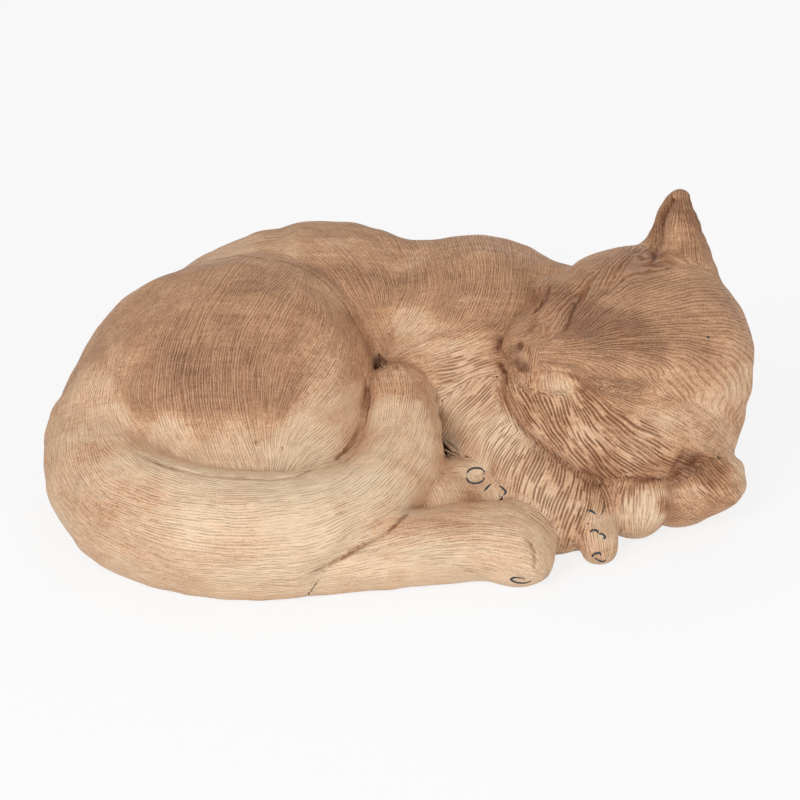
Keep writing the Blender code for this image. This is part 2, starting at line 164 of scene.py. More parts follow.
# The trunk: back, belly and the low lap between the feet, carved from the widest block.
def trunk_form(p):
    back = limb(p, [(-85, 36, 37.5, 38.5), (-57, 44, 45.5, 43.5), (-28, 46, 47, 46.5), (4, 42, 42, 42)])
    belly = egg(p, (-8, 34, 22), (78, 50, 34))
    lap = egg(p, (17, -36, 5), (44, 42, 24))
    return join(join(back, belly, 10), lap, 8)


forms["trunk"] = trunk_form
fur_lines["trunk"] = [
    [(215, 252), (250, 243), (290, 238)],
    [(300, 235), (340, 262), (362, 300)],
    [(345, 230), (375, 265), (385, 310)],
    [(375, 240), (400, 275), (400, 320)],
    [(400, 245), (420, 285), (425, 330)],
    [(330, 280), (360, 310), (375, 338)],
]
tone_dabs["trunk"] = [
    (232, 250, 18, 0.45), (285, 242, 18, 0.62), (335, 240, 22, 0.7), (345, 275, 20, 0.86),
    (382, 285, 22, 0.82), (400, 252, 16, 0.74), (408, 322, 16, 0.5), (418, 296, 14, 0.75),
    (380, 330, 12, 0.8), (412, 352, 14, 0.55),
]


# The shoulder: the hump of the shoulder blades with chest and neck, which the head rests on.
def shoulder_form(p):
    hump = limb(p, [(22, 35, 45, 44), (34, 31, 47, 47.5), (58, 22, 46, 39)])
    chest = egg(p, (40, 16, 22), (47, 38, 29))
    neck = egg(p, (68, 25, 66), (17, 20, 21.5))
    return join(join(hump, chest, 8), neck, 6)


forms["shoulder"] = shoulder_form
fur_lines["shoulder"] = [
    [(432, 242), (448, 280), (440, 320)],
    [(470, 238), (478, 275), (465, 310)],
    [(505, 242), (505, 280), (495, 312)],
    [(540, 260), (535, 290), (525, 315)],
    [(500, 330), (465, 342), (432, 352)],
    [(496, 352), (470, 358), (436, 366)],
    [(494, 368), (465, 378), (438, 392)],
    [(494, 385), (465, 405), (440, 430)],
]
tone_dabs["shoulder"] = [
    (450, 262, 24, 0.82), (500, 258, 26, 0.82), (545, 262, 12, 0.9), (530, 296, 12, 1),
    (455, 300, 20, 0.92), (492, 318, 18, 0.9), (438, 335, 16, 0.55), (476, 345, 14, 0.55),
    (462, 375, 18, 0.34), (438, 395, 16, 0.3), (499, 345, 7, 1.1), (476, 410, 16, 0.3),
]


# The tail: one long limb that comes off the rump, goes round the haunch and ends against its
# right side. Its fur runs along it in long shallow strokes.
def tail_form(p):
    upper = limb(p, [(-103, 8, 33, 30.5), (-122, -22, 31, 26), (-113, -54, 27, 24), (-82, -74, 25.5, 22.8),
                     (-45, -77, 25, 21.5), (-14, -61, 25, 19), (1, -34, 33, 17), (0, -12, 46, 15)])
    lower = limb(p, [(-124, -22, 18.5, 20.8), (-114, -56, 14.5, 19), (-82, -77.5, 13.2, 18.3),
                     (-43, -80, 12.5, 17.2)])
    return join(upper, lower, 10)


forms["tail"] = tail_form
fur_lines["tail"] = [
    [(58, 420), (52, 455), (62, 490), (85, 520), (125, 545)],
    [(80, 440), (85, 470), (110, 495), (160, 510), (230, 515), (300, 508)],
    [(120, 450), (150, 470), (200, 485), (260, 490), (320, 478), (360, 455)],
    [(75, 535), (110, 560), (160, 578), (230, 588), (290, 586)],
    [(110, 520), (170, 545), (240, 555), (310, 552), (360, 530)],
    [(330, 515), (380, 490), (410, 450), (425, 410), (420, 380)],
    [(370, 450), (388, 425), (392, 395), (385, 365)],
    [(400, 430), (412, 400), (410, 370), (396, 352)],
    [(368, 425), (374, 395), (372, 368)],
]
tone_dabs["tail"] = [
    (60, 440, 20, 0.46), (84, 478, 20, 0.48), (135, 470, 20, 0.25), (200, 478, 20, 0.06),
    (120, 508, 26, 0.52), (210, 508, 26, 0.32), (300, 505, 35, 0.08), (370, 492, 28, 0.12),
    (85, 535, 20, 0.45), (150, 548, 26, 0.34), (225, 545, 28, 0.34), (320, 545, 26, 0.24),
    (240, 585, 24, 0.26), (410, 445, 18, 0.28), (415, 412, 12, 0.42), (384, 412, 10, 0.2),
    (410, 376, 16, 0.58), (380, 380, 10, 0.6),
]


# The hind foot: the long sole in front of the tail, with two outer toes cut in its end.
def hind_foot_form(p):
    sole = limb(p, [(-62, -84, 6, 9), (-36, -83, 10, 12.5), (0, -76, 13.5, 15.5), (30, -71, 13.5, 15.5),
                    (43, -69.5, 13.5, 15.5)])
    front_toe = egg(p, (49, -77.5, 9), (13, 11.5, 11))
    back_toe = egg(p, (51, -65, 12), (13, 11.5, 11))
    return join(join(sole, front_toe, 5), back_toe, 6)


forms["hind_foot"] = hind_foot_form
fur_lines["hind_foot"] = [
    [(325, 578), (370, 570), (420, 562), (470, 558), (505, 562)],
    [(390, 545), (430, 535), (470, 530), (510, 535)],
    [(425, 508), (460, 503), (500, 508), (535, 525), (550, 548)],
    [(400, 575), (450, 572), (490, 580)],
]
tone_dabs["hind_foot"] = [
    (350, 572, 22, 0.25), (392, 532, 18, 0.52), (442, 522, 18, 0.6), (492, 522, 18, 0.52),
    (440, 556, 22, 0.2), (500, 552, 20, 0.24), (540, 548, 12, 0.28), (470, 575, 14, 0.2),
]


# The inner hind paw: only its toes show, between the tail's tip and the foreleg.
def inner_hind_paw_form(p):
    paw = limb(p, [(2, -40, 19, 13), (24, -37, 19.5, 10.5)])
    upper_toe = egg(p, (31, -38, 22), (7.5, 7, 7))
    side_toe = egg(p, (39, -40, 17), (6.5, 6, 6.5))
    return join(join(paw, upper_toe, 3), side_toe, 3)


forms["inner_hind_paw"] = inner_hind_paw_form
fur_lines["inner_hind_paw"] = [[(440, 480), (470, 485), (500, 492)], [(440, 465), (465, 460), (488, 470)]]
tone_dabs["inner_hind_paw"] = [
    (446, 482, 12, 0.4), (475, 468, 9, 0.05), (495, 485, 9, 0.25), (470, 495, 8, 0.65),
]


# The near foreleg: it comes out from under the chin and lies across the chest.
def near_foreleg_form(p):
    return limb(p, [(35, 5, 40, 26), (50, -22, 30, 22), (62, -46, 17, 20), (74, -50, 12.5, 14.5)])


forms["near_foreleg"] = near_foreleg_form
fur_lines["near_foreleg"] = [
    [(495, 400), (470, 425), (448, 455)],
    [(515, 430), (498, 455), (492, 470)],
    [(530, 455), (520, 480), (512, 505)],
    [(555, 475), (545, 505), (540, 530)],
    [(578, 485), (568, 515), (560, 545)],
]
tone_dabs["near_foreleg"] = [
    (470, 436, 18, 0.22), (506, 442, 16, 0.14), (535, 446, 14, 0.32), (515, 472, 14, 0.44),
    (530, 490, 14, 0.3), (562, 480, 14, 0.5), (552, 512, 12, 0.36), (568, 535, 12, 0.4),
    (496, 478, 10, 0.5),
]


# The near forepaw: it hangs over the end of the foreleg, with its toes on the table.
def near_forepaw_form(p):
    back = limb(p, [(79, -48, 16, 10.5), (80.3, -58, 9.5, 9.5)])
    toe = egg(p, (81.2, -64.3, 7.0), (8.3, 6.5, 8))
    return join(back, toe, 3)


forms["near_forepaw"] = near_forepaw_form
fur_lines["near_forepaw"] = [[(590, 500), (596, 525), (600, 550)]]
tone_dabs["near_forepaw"] = [
    (592, 500, 8, 0.62), (598, 530, 10, 0.3), (602, 555, 8, 0.4),
]


# The far foreleg: folded under the head, so that only its wrist shows, in front of the cheek.
def far_foreleg_form(p):
    return limb(p, [(62, 15, 24, 26), (88, -22, 20, 22), (96.5, -42.5, 15, 15.3)])


forms["far_foreleg"] = far_foreleg_form
fur_lines["far_foreleg"] = [[(612, 485), (606, 512), (612, 530)], [(640, 484), (638, 505), (640, 528)],
                            [(656, 488), (658, 505), (650, 524)]]
tone_dabs["far_foreleg"] = [
    (610, 492, 10, 0.8), (642, 508, 14, 0.2), (662, 505, 5, 0.9), (628, 488, 7, 0.6),
]


# The head: carved lying on its side, with its nose towards the haunch. In its own frame, leant
# back by 60 degrees, x runs from nose to crown, y to the upper ear and z out of the cheek.
head_centre = np.array([98.0, -1.5, 58.0])
head_lean = math.radians(60)
head_turn = np.array([[1.0, 0.0, 0.0],
                      [0.0, math.cos(head_lean), -math.sin(head_lean)],
                      [0.0, math.sin(head_lean), math.cos(head_lean)]])


def in_head(p):
    """Points of the carving in the head's own frame."""
    return ((p - head_centre.astype(p.dtype)) @ head_turn.astype(p.dtype)).astype(p.dtype)


def head_form(p):
    q = in_head(p)
    f = egg(q, (0.8, 0, -2), (49, 48, 46))
    f = join(f, limb(q, [(-8, 1, 24, 20), (-30, 1, 27, 15), (-43, 1, 25, 10.5)]), 12)
    f = join(f, egg(q, (-22, -27, 10), (38, 24, 28), -24), 12)
    f = join(f, egg(q, (15, -31, 3), (26, 19, 24)), 12)
    f = join(f, egg(q, (-35, 21, 16), (10, 14, 12), 20), 6)
    f = join(f, egg(q, (-46, 9.5, 18), (9, 9, 12)), 5)
    f = join(f, egg(q, (-43, -12, 20), (11, 10, 12)), 5)
    return join(f, egg(q, (-35, -8.5, 27), (10, 6.5, 6.5)), 3)


forms["head"] = head_form
fur_lines["head"] = [
    [(535, 358), (580, 358), (630, 352), (690, 345), (745, 340)],
    [(540, 345), (590, 335), (650, 322), (720, 315)],
    [(572, 325), (600, 300), (635, 272), (655, 262)],
    [(585, 335), (630, 305), (690, 285), (715, 285)],
    [(592, 292), (612, 262), (640, 245)],
    [(553, 331), (560, 308), (574, 284)],
    [(541, 328), (546, 308), (560, 288)],
    [(503, 348), (512, 336), (526, 330)],
    [(600, 375), (650, 368), (700, 362), (748, 358)],
    [(610, 395), (660, 396), (710, 398), (748, 395)],
    [(511, 378), (522, 404), (540, 430)],
    [(530, 392), (543, 420), (560, 447)],
    [(548, 394), (560, 432), (580, 462)],
    [(566, 392), (578, 432), (602, 470)],
    [(584, 396), (604, 432), (634, 464)],
    [(592, 388), (622, 422), (660, 456)],
    [(604, 386), (645, 412), (684, 432)],
    [(640, 388), (690, 408), (725, 430)],
    [(540, 376), (538, 386), (541, 396)],
    [(555, 376), (555, 388), (559, 400)],
    [(570, 379), (572, 390), (578, 402)],
]
# The fur is parted on a line under the eye, where the ruff starts.
fur_break = [(498, 366), (512, 378), (530, 391), (560, 393), (600, 388), (640, 390)]
tone_dabs["head"] = [
    (642, 262, 18, 1.28), (605, 270, 16, 1.12), (620, 292, 20, 0.92), (592, 322, 16, 1.18),
    (620, 338, 18, 1.22), (652, 340, 16, 1.12), (685, 296, 20, 0.8), (668, 318, 16, 0.9),
    (722, 312, 18, 0.8), (560, 298, 12, 1.1), (550, 322, 8, 0.85), (530, 322, 8, 0.9),
    (512, 338, 7, 0.85), (548, 352, 14, 0.82), (578, 356, 14, 0.92), (690, 355, 16, 0.86),
    (732, 352, 16, 0.68), (596, 382, 12, 0.98), (632, 380, 18, 1), (680, 382, 18, 0.62),
    (740, 382, 12, 0.45), (556, 385, 11, 0.35), (526, 384, 9, 0.6), (520, 412, 12, 0.8),
    (556, 412, 14, 0.68), (604, 412, 16, 0.66), (655, 412, 16, 0.55), (705, 405, 16, 0.62),
    (742, 415, 9, 0.8), (548, 440, 10, 0.52), (592, 440, 16, 0.48), (640, 446, 16, 0.55),
    (600, 468, 12, 0.88), (650, 468, 12, 0.72), (712, 435, 14, 0.5),
]


# The nose leather: a small flat wedge let into the end of the muzzle.
def nose_form(p):
    q = in_head(p)
    wedge = egg(q, (-46.1, 1.6, 24), (4.4, 7.0, 60))
    return head_form(p) + np.maximum(wedge, 18 - q[:, 2])


forms["nose"] = nose_form
fur_lines["nose"] = [[(523, 345), (518, 365)]]
tone_dabs["nose"] = [
    (517, 354, 6, 1.15), (523, 367, 5, 1.45),
]


# The upper ear: pricked, with its back to the camera and its hollow towards the nose.
def upper_ear_form(p):
    q = in_head(p)
    f = limb(q, [(21.3, 38, 0, 13), (19.8, 54, 3, 8.3), (18.4, 67, 4, 4.2)])
    f = join(f, limb(q, [(9, 40, -8, 8), (11, 53, -7, 5), (15.5, 66, 0, 2.8)]), 4)
    hollow = limb(q, [(5, 38, 6, 5), (7, 50, 3.5, 5.4), (11.2, 60, 3, 3.6), (14.8, 67.5, 5, 1.4)])
    return -join(-f, hollow, 0.8)


forms["upper_ear"] = upper_ear_form
fur_lines["upper_ear"] = [[(668, 255), (672, 228), (679, 200)], [(690, 262), (688, 230), (683, 202)],
                          [(706, 262), (699, 230), (688, 205)]]
tone_dabs["upper_ear"] = [
    (684, 205, 12, 1.1), (672, 235, 10, 0.7), (656, 225, 8, 1.05), (694, 240, 12, 0.95),
]


# The lower ear: pressed flat under the head, with the hollow of its inside showing, darkened with stain
# and painted shade.
def lower_ear_form(p):
    q = in_head(p)
    f = limb(q, [(20, -44, 4, 15), (33, -50, 4, 10.5), (40.5, -50.5, 3, 6)])
    f = join(f, egg(q, (23, -53.5, 5), (19, 12.5, 11)), 6)
    f = join(f, egg(q, (16, -58, 4), (13, 11, 10)), 5)
    flap = limb(q, [(20, -38, 12, 9), (30, -43, 10, 8.5), (39.5, -46, 6, 6)])
    return join(f, flap, 5)


forms["lower_ear"] = lower_ear_form
fur_lines["lower_ear"] = [[(686, 448), (692, 466), (700, 486)], [(700, 456), (712, 474), (724, 492)],
                          [(672, 486), (684, 502), (700, 514)], [(664, 508), (676, 516), (690, 521)],
                          [(720, 470), (732, 482), (740, 492)], [(700, 490), (716, 502), (728, 506)]]
tone_dabs["lower_ear"] = [
    (690, 462, 10, 1.08), (708, 474, 11, 0.95), (680, 480, 8, 0.9), (695, 505, 14, 0.62),
    (724, 494, 12, 0.75), (672, 514, 9, 0.8),
]


# The whole body: the blocks are run together with the softness of each joint, then the knife
# cuts the creases of eyes, nose, mouth, toes and folds, and the saw takes the underside flat.
def ramp(x, low, high):
    """0 below low, 1 above high and smooth between."""
    t = np.clip((x - low) / (high - low), 0, 1)
    return t * t * (3 - 2 * t)


joint_softness = {"shoulder": 8, "haunch": 2.5, "near_foreleg": 9, "far_foreleg": 4, "head": 3,
                  "tail": 2.5, "hind_foot": 2.5, "inner_hind_paw": 2.5, "near_forepaw": 3,
                  "upper_ear": 6, "lower_ear": 4}


def whole(f, p):
    """The joined body, from the distances of its blocks. The tail runs softly into the rump."""
    rump_softness = (11 * ramp(-p[:, 0], 104, 128)).astype(np.float32)
    body = f["trunk"]
    for name, soft in joint_softness.items():
        body = join(body, f[name], soft + rump_softness if name == "tail" else soft)
    return body


def uneven(p):
    """The slight waver of a surface worked by hand."""
    waver = np.zeros(len(p), np.float32)
    rng = np.random.default_rng(7)
    for size, depth in ((38, 0.30), (27, 0.26), (19, 0.18), (13, 0.12), (9, 0.08)):
        for _ in range(2):
            way = rng.normal(size=3)
            way *= 2 * math.pi / size / np.linalg.norm(way)
            waver += depth * np.sin(p @ way.astype(np.float32) + np.float32(rng.uniform(0, 6.3)))
    return waver


# A form is measured no further than its reach, inside a box of its own.
knife_cuts = []
reach = 26.0
low_corner = np.array([-156.0, -112.0, -3.0])
high_corner = np.array([156.0, 102.0, 134.0])
form_boxes = {name: (low_corner, high_corner) for name in forms}


def all_forms(p):
    """How far points lie outside each form, measured no further than its reach."""
    values = np.full((len(forms), len(p)), reach, np.float32)
    for row, (name, form) in enumerate(forms.items()):
        low, high = form_boxes[name]
        near = np.flatnonzero(((p > low) & (p < high)).all(1))
        if len(near):
            values[row, near] = form(p[near])
    return values


def carved(values, p):
    """How far points lie outside the body with its knife cuts and its flat underside."""
    body = whole(dict(zip(forms, values)), p) + uneven(p)
    for route, width, depth in knife_cuts:
        low = route[:, :3].min(0) - 3 * width
        high = route[:, :3].max(0) + 3 * width
        near = np.flatnonzero(((p > low) & (p < high)).all(1))
        if len(near):
            off = np.maximum(along(p[near], route), 0) / width
            body[near] += depth * np.exp(-off * off)
    return -join(-body, p[:, 2], 0.8)


def body_at(p):
    """How far points lie outside the carved body."""
    return carved(all_forms(p), p)


rough_points = np.stack(np.meshgrid(*[np.arange(a, b, 6.0) for a, b in zip(low_corner, high_corner)],
                                    indexing="ij"), -1).reshape(-1, 3).astype(np.float32)
for name, values in zip(list(forms), all_forms(rough_points)):
    close = rough_points[values < reach]
    form_boxes[name] = (close.min(0) - 6, close.max(0) + 6)


def seen(pixels):
    """The points of the carving that the camera sees at these pixels of the photograph."""
    px = np.asarray(pixels, float)
    clear_of_body = 150.0
    way = (look + (px[:, :1] - picture_size / 2) / pixels_per_slope * np.array([1.0, 0.0, 0.0])
           + (picture_size / 2 - px[:, 1:]) / pixels_per_slope * upward)
    way /= np.linalg.norm(way, axis=1, keepdims=True)
    gone = np.full(len(px), camera_distance - clear_of_body)
    careful = 0.8
    for _ in range(48):
        p = (camera_at + way * gone[:, None]).astype(np.float32)
        gone += careful * body_at(p)
    return camera_at + way * gone[:, None]


# Each knife cut: its line in the photograph, its width and its depth in mm. The ones with a depth
# below 0 raise a soft ridge.
cuts_seen = {
    "upper eye": ([(583, 287), (577, 300), (571, 314), (568, 325), (562, 332), (551, 337)], 0.8, 1.0),
    "upper lid": ([(566, 286), (560, 304), (554, 322)], 4.5, -1.6),
    "temple": ([(586, 280), (580, 294), (574, 308)], 3.5, 1.0),
    "lower eye": ([(534, 371), (543, 372), (558, 372), (570, 375), (579, 381), (583, 390)], 1.4, 0.7),
    "lower lid": ([(538, 384), (552, 382), (569, 385)], 4.2, -1.8),
    "lid end": ([(583, 380), (585, 388), (581, 396)], 1.8, 0.8),
    "upper muzzle": ([(546, 305), (532, 320), (514, 330), (505, 345), (502, 356)], 3.6, -1.8),
    "muzzle side": ([(543, 318), (530, 330), (522, 339)], 1.2, 0.6),
    "nostril": ([(524, 341), (520, 348), (515, 354)], 0.8, 2.4),
    "nose edge": ([(525, 338), (528, 345), (529, 358), (530, 373)], 0.8, 1.0),
    "nose underside": ([(530, 373), (520, 370), (511, 364), (505, 362)], 0.9, 1.4),
    "nose pad": ([(522, 358), (524, 367)], 1.8, 0.8),
    "lower lip": ([(511, 375), (517, 390), (526, 402)], 3.5, -1.4),
    "mouth": ([(496, 358), (501, 365), (505, 372), (507, 380), (508, 388)], 0.8, 1.3),
    "chin": ([(503, 388), (506, 404), (519, 426), (548, 451), (575, 470), (602, 479)], 1.8, 1.8),
    "cheek": ([(602, 479), (640, 479), (668, 480)], 1.2, 1.2),
    "ear fold": ([(684, 446), (683, 456), (676, 465), (668, 479)], 1.4, 2.0),
    "ear rim": ([(684, 432), (695, 444), (713, 456), (728, 468), (740, 480)], 1.5, -1.8),
    "ear hollow": ([(692, 455), (708, 467), (726, 481)], 4.5, 3.4),
    "upper ear pocket": ([(657, 240), (655, 252), (654, 264)], 1.8, 2.0),
    "upper ear groove": ([(676, 197), (667, 214), (660, 231), (656, 248)], 1.3, 2.2),
    "upper ear crest": ([(681, 195), (672, 215), (666, 231), (661, 248)], 1.2, -1.0),
    "upper ear hollow": ([(668, 206), (659, 222), (653, 235)], 3.0, 2.2),
    "tail crease": ([(127, 447), (152, 460), (177, 469), (225, 477), (273, 479), (305, 472), (337, 458),
                     (349, 447), (358, 432), (366, 415), (367, 390), (362, 364)], 0.9, 1.1),
    "haunch crease": ([(205, 258), (250, 256), (298, 265), (328, 284), (346, 305), (360, 330), (372, 351)],
                      1.0, 1.0),
    "foot crease": ([(420, 494), (407, 514), (388, 531), (365, 545), (329, 565), (301, 576)], 0.9, 1.1),
    "neck cut": ([(553, 282), (546, 295), (538, 307), (531, 317)], 1.3, 2.0),
    "neck cut inner": ([(547, 283), (541, 296), (534, 308)], 0.8, 1.2),
    "neck cut middle": ([(541, 284), (536, 296), (530, 309)], 0.8, 1.1),
    "neck cut outer": ([(536, 286), (531, 297), (526, 309)], 0.8, 0.9),
    "beside the muzzle": ([(520, 322), (508, 330), (500, 342), (497, 354)], 2.4, 2.0),
    "hind toe": ([(521, 532), (531, 543), (535, 555), (535, 568), (532, 577)], 0.7, 1.0),
    "hind claw": ([(512, 580), (518, 577), (532, 581)], 0.6, 0.6),
    "paw crease": ([(590, 548), (602, 552), (616, 547)], 0.8, 1.2),
    "paw pad": ([(590, 505), (593, 520), (597, 535)], 4.0, -0.8),
    "paw side": ([(576, 497), (580, 515), (581, 535), (587, 552)], 0.9, 1.0),
    "toe gap": ([(487, 462), (493, 474), (486, 482)], 0.7, 0.9),
    "toe gap low": ([(486, 482), (496, 480), (508, 486)], 0.6, 0.7),
    "haunch cut": ([(253, 425), (257, 445), (266, 476)], 0.7, 0.7),
    "haunch cut right": ([(288, 432), (281, 452), (277, 476)], 0.7, 0.5),
    "tip cut": ([(379, 357), (386, 370), (392, 386)], 0.7, 0.7),
    "tip cut left": ([(372, 362), (376, 376), (381, 392)], 0.7, 0.6),
    "tip cut right": ([(388, 352), (395, 365), (402, 385)], 0.7, 0.7),
    "tip cut last": ([(397, 351), (404, 364), (409, 378)], 0.6, 0.5),
    "back ridge": ([(352, 228), (372, 236), (392, 252), (404, 270)], 3.0, 1.0),
    "valley": ([(413, 243), (425, 275), (436, 310), (440, 340)], 7.0, 1.8),
    "chest pit": ([(438, 385), (450, 382), (462, 384)], 1.6, 1.2),
}
every_point = list(seen([pixel for pixels, width, depth in cuts_seen.values() for pixel in pixels]))
for pixels, width, depth in cuts_seen.values():
    places = [every_point.pop(0) for _ in pixels]
    halves = [-1.3 * width] + [0.0] * (len(pixels) - 2) + [-1.3 * width]
    stations = tuple((*place, half) for place, half in zip(places, halves))
    knife_cuts.append((smooth_route(stations, 3), width, depth))


# Parting the body: each block takes the part of the body that is nearer to its own form than to
# any other, so that the joints run along the creases. The blocks meet on a hair-thin glue line.
glue_line = 0.01
grid_step = 1.1
block_cells = 8
helpers = concurrent.futures.ThreadPoolExecutor(4)


def shared_out(work, p):
    """Does the work on the points in small lots, side by side, and puts the rows together."""
    lots = np.array_split(p, len(p) // 20000 + 1)
    return np.concatenate(list(helpers.map(work, lots)), axis=1)


def body_and_joints(p):
    """How far points lie outside the body, and past the joints of each block in turn."""
    values = all_forms(p)
    first, second = np.partition(values, 1, axis=0)[:2]
    others = np.where(values <= first, second, first)
    return np.vstack([carved(values, p)[None], (values - others) / 2 + glue_line / 2])


grid_count = np.ceil((high_corner - low_corner) / grid_step / block_cells).astype(int)
block_places = np.stack(np.meshgrid(*[np.arange(n) for n in grid_count], indexing="ij"), -1).reshape(-1, 3)
block_middles = low_corner + (block_places * block_cells + (block_cells - 1) / 2) * grid_step
rough = shared_out(body_and_joints, block_middles.astype(np.float32))
block_radius = grid_step * block_cells * 1.1
kept = (np.abs(rough[0]) < block_radius) | ((rough[0] < block_radius)
                                            & (np.abs(rough[1:]).min(0) < block_radius))
cell_places = np.stack(np.meshgrid(*[np.arange(block_cells)] * 3, indexing="ij"), -1).reshape(-1, 3)
grid = (block_places[kept][:, None] * block_cells + cell_places[None]).reshape(-1, 3)
fine = shared_out(body_and_joints, (low_corner + grid * grid_step).astype(np.float32))


def full_grid(coarse_row, fine_row):
    """One value at every grid point, fine near the surface and coarse away from it."""
    full = coarse_row.reshape(grid_count)
    for axis in range(3):
        full = full.repeat(block_cells, axis)
    full[tuple(grid.T)] = fine_row
    return full


def skin_of(body, joint, low):
    """A closed skin through a grid, one point a cell, and which points lie on body and joints."""
    values = np.maximum(body, joint)
    inside = values < 0
    sizes = np.array(values.shape)
    corners = [(i, j, k) for i in (0, 1) for j in (0, 1) for k in (0, 1)]
    count = np.zeros(sizes - 1, np.int8)
    for i, j, k in corners:
        count += inside[i:sizes[0] - 1 + i, j:sizes[1] - 1 + j, k:sizes[2] - 1 + k]
    cells = np.argwhere((count > 0) & (count < 8))
    number = np.full(sizes - 1, -1, np.int32)
    number[tuple(cells.T)] = np.arange(len(cells))
    total = np.zeros((len(cells), 3))
    on_body = np.zeros(len(cells))
    on_joint = np.zeros(len(cells))
    for a in corners:
        for axis in range(3):
            if a[axis]:
                continue
            b = list(a)
            b[axis] = 1
            here, ahead = tuple((cells + a).T), tuple((cells + b).T)
            crosses = inside[here] != inside[ahead]
            here = tuple(place[crosses] for place in here)
            ahead = tuple(place[crosses] for place in ahead)
            t = values[here] / (values[here] - values[ahead])
            at = np.tile(np.array(a, float), (len(t), 1))
            at[:, axis] += t
            total[crosses] += at
            skin = body[here] + t * (body[ahead] - body[here])
            seam = joint[here] + t * (joint[ahead] - joint[here])
            on_body[crosses] += skin >= seam
            on_joint[crosses] += skin < seam
    points = (cells + total / (on_body + on_joint)[:, None]) * grid_step + low
    faces = []
    for axis in range(3):
        side = [slice(None)] * 3
        side[axis] = slice(0, -1)
        next_side = [slice(None)] * 3
        next_side[axis] = slice(1, None)
        edge = np.argwhere(inside[tuple(side)] != inside[tuple(next_side)])
        u, v = [(1, 2), (2, 0), (0, 1)][axis]
        corner = []
        for du, dv in ((1, 1), (0, 1), (0, 0), (1, 0)):
            cell = edge.copy()
            cell[:, u] -= du
            cell[:, v] -= dv
            corner.append(number[tuple(cell.T)])
        face = np.stack(corner, 1)
        flip = ~inside[tuple(edge.T)]
        face[flip] = face[flip][:, ::-1]
        faces.append(face)
    return points.astype(np.float32), np.concatenate(faces), on_body > 0, on_joint > 0


def slopes(row, p, nudge):
    """Values and gradients of the body and of one block's joints."""
    def work(q):
        return body_and_joints(q)[[0, row + 1]]
    here = shared_out(work, p)
    ways = np.empty((2, len(p), 3), np.float32)
    for axis in range(3):
        q = p.copy()
        q[:, axis] += nudge
        ways[:, :, axis] = (shared_out(work, q) - here) / nudge
    return here, ways


def settle(p, row, on_body, on_joint):
    """Moves the points of a rough skin onto the body, the joints and the edges between them."""
    nudge = 0.10
    longest_move = 0.8 * grid_step
    for _ in range(4):
        here, ways = slopes(row, p, nudge)
        size = np.maximum((ways * ways).sum(2), 0.25)
        step = here / size * np.stack([on_body, on_joint])
        shared = (ways[0] * ways[1]).sum(1)
        spread = size[0] * size[1] - shared * shared
        both = on_body & on_joint & (spread > 0.12 * size[0] * size[1])
        step[1, on_body & on_joint & ~both] = 0
        step[0, both] = ((size[1] * here[0] - shared * here[1]) / spread)[both]
        step[1, both] = ((size[0] * here[1] - shared * here[0]) / spread)[both]
        move = (ways * step[:, :, None]).sum(0)
        far = np.sqrt((move * move).sum(1))
        p = p - move * np.minimum(1, longest_move / np.maximum(far, 1e-6))[:, None]
    p[:, 2] = np.maximum(p[:, 2], 0)
    return p, ways


blocks = {}
for row, name in enumerate(forms):
    body = full_grid(rough[0], fine[0])
    joint = full_grid(rough[row + 1], fine[row + 1])
    solid = np.argwhere(np.maximum(body, joint) < 0)
    first = np.maximum(solid.min(0) - 2, 0)
    last = solid.max(0) + 3
    box = tuple(slice(a, b) for a, b in zip(first, last))
    points, faces, on_body, on_joint = skin_of(body[box], joint[box], low_corner + first * grid_step)
    points, ways = settle(points, row, on_body, on_joint)
    blocks[name] = (points, faces, np.where(on_body[:, None], ways[0], ways[1]), on_body, on_joint)


# The fur: thousands of short cuts of a V-tool that follow the lie of the fur. Ruff, chest and
# forelegs are cut in open grooves, the rest in fine strokes, and the hollows get painted shade.
# A dab gives a pixel of the photograph, a size in pixels and a share. Coarse dabs go from 1, open
# grooves, down to -1, smooth wood.
coarse_dabs = [
    (530, 410, 22, 1), (560, 430, 24, 1), (600, 440, 26, 1), (640, 450, 20, 1), (600, 468, 14, 1),
    (516, 388, 10, 1), (552, 384, 11, 0.2), (556, 350, 22, 0), (632, 385, 20, 0), (690, 400, 26, 0),
    (545, 500, 26, 0.9), (568, 525, 18, 0.9), (468, 380, 24, 0.7), (470, 430, 24, 0.5),
    (505, 455, 20, 0.7), (610, 495, 16, 0.9), (655, 505, 12, 0.5), (700, 480, 20, 0.6),
    (600, 530, 14, 0), (500, 290, 40, 0), (400, 270, 60, 0), (240, 350, 90, 0), (240, 530, 90, 0),
    (450, 540, 60, 0), (519, 360, 7, -1), (680, 220, 30, 0.3), (532, 538, 12, 0), (505, 515, 16, 0),
    (476, 476, 14, 0), (690, 310, 50, 0),
]
# Dabs of stain, and of painted shade where they lie in creases and hollows such as the folds, the nostril
# and the ear.
stain_and_shade_dabs = [
    (692, 462, 9, 0.7), (712, 476, 8, 0.5), (676, 474, 6, 0.7), (520, 346, 4, 1), (517, 362, 6, 0.8),
    (600, 482, 12, 0.5), (640, 480, 9, 0.4), (540, 452, 9, 0.5), (505, 395, 6, 0.6), (668, 506, 5, 0.7),
    (535, 296, 10, 0.7), (352, 320, 9, 0.5), (368, 346, 9, 0.6), (654, 220, 7, 0.5), (656, 250, 5, 0.6),
    (577, 545, 6, 0.5), (470, 498, 8, 0.4), (300, 478, 10, 0.3), (400, 360, 8, 0.3), (524, 366, 3, 0.9),
    (604, 500, 7, 0.4),
]


def placed(dabs):
    """Dabs at their places on the carving, with their sizes in mm and their shares."""
    rows = np.array(dabs, float)
    sizes = rows[:, 2:3] * carving_length / length_in_pixels
    return np.hstack([seen(rows[:, :2]), sizes, rows[:, 3:]]).astype(np.float32)


def nearness(p, dabs):
    """How strongly each dab works on each point, 1 at its middle."""
    return np.exp(-((p[:, None] - dabs[None, :, :3]) ** 2).sum(2) / dabs[:, 3] ** 2)


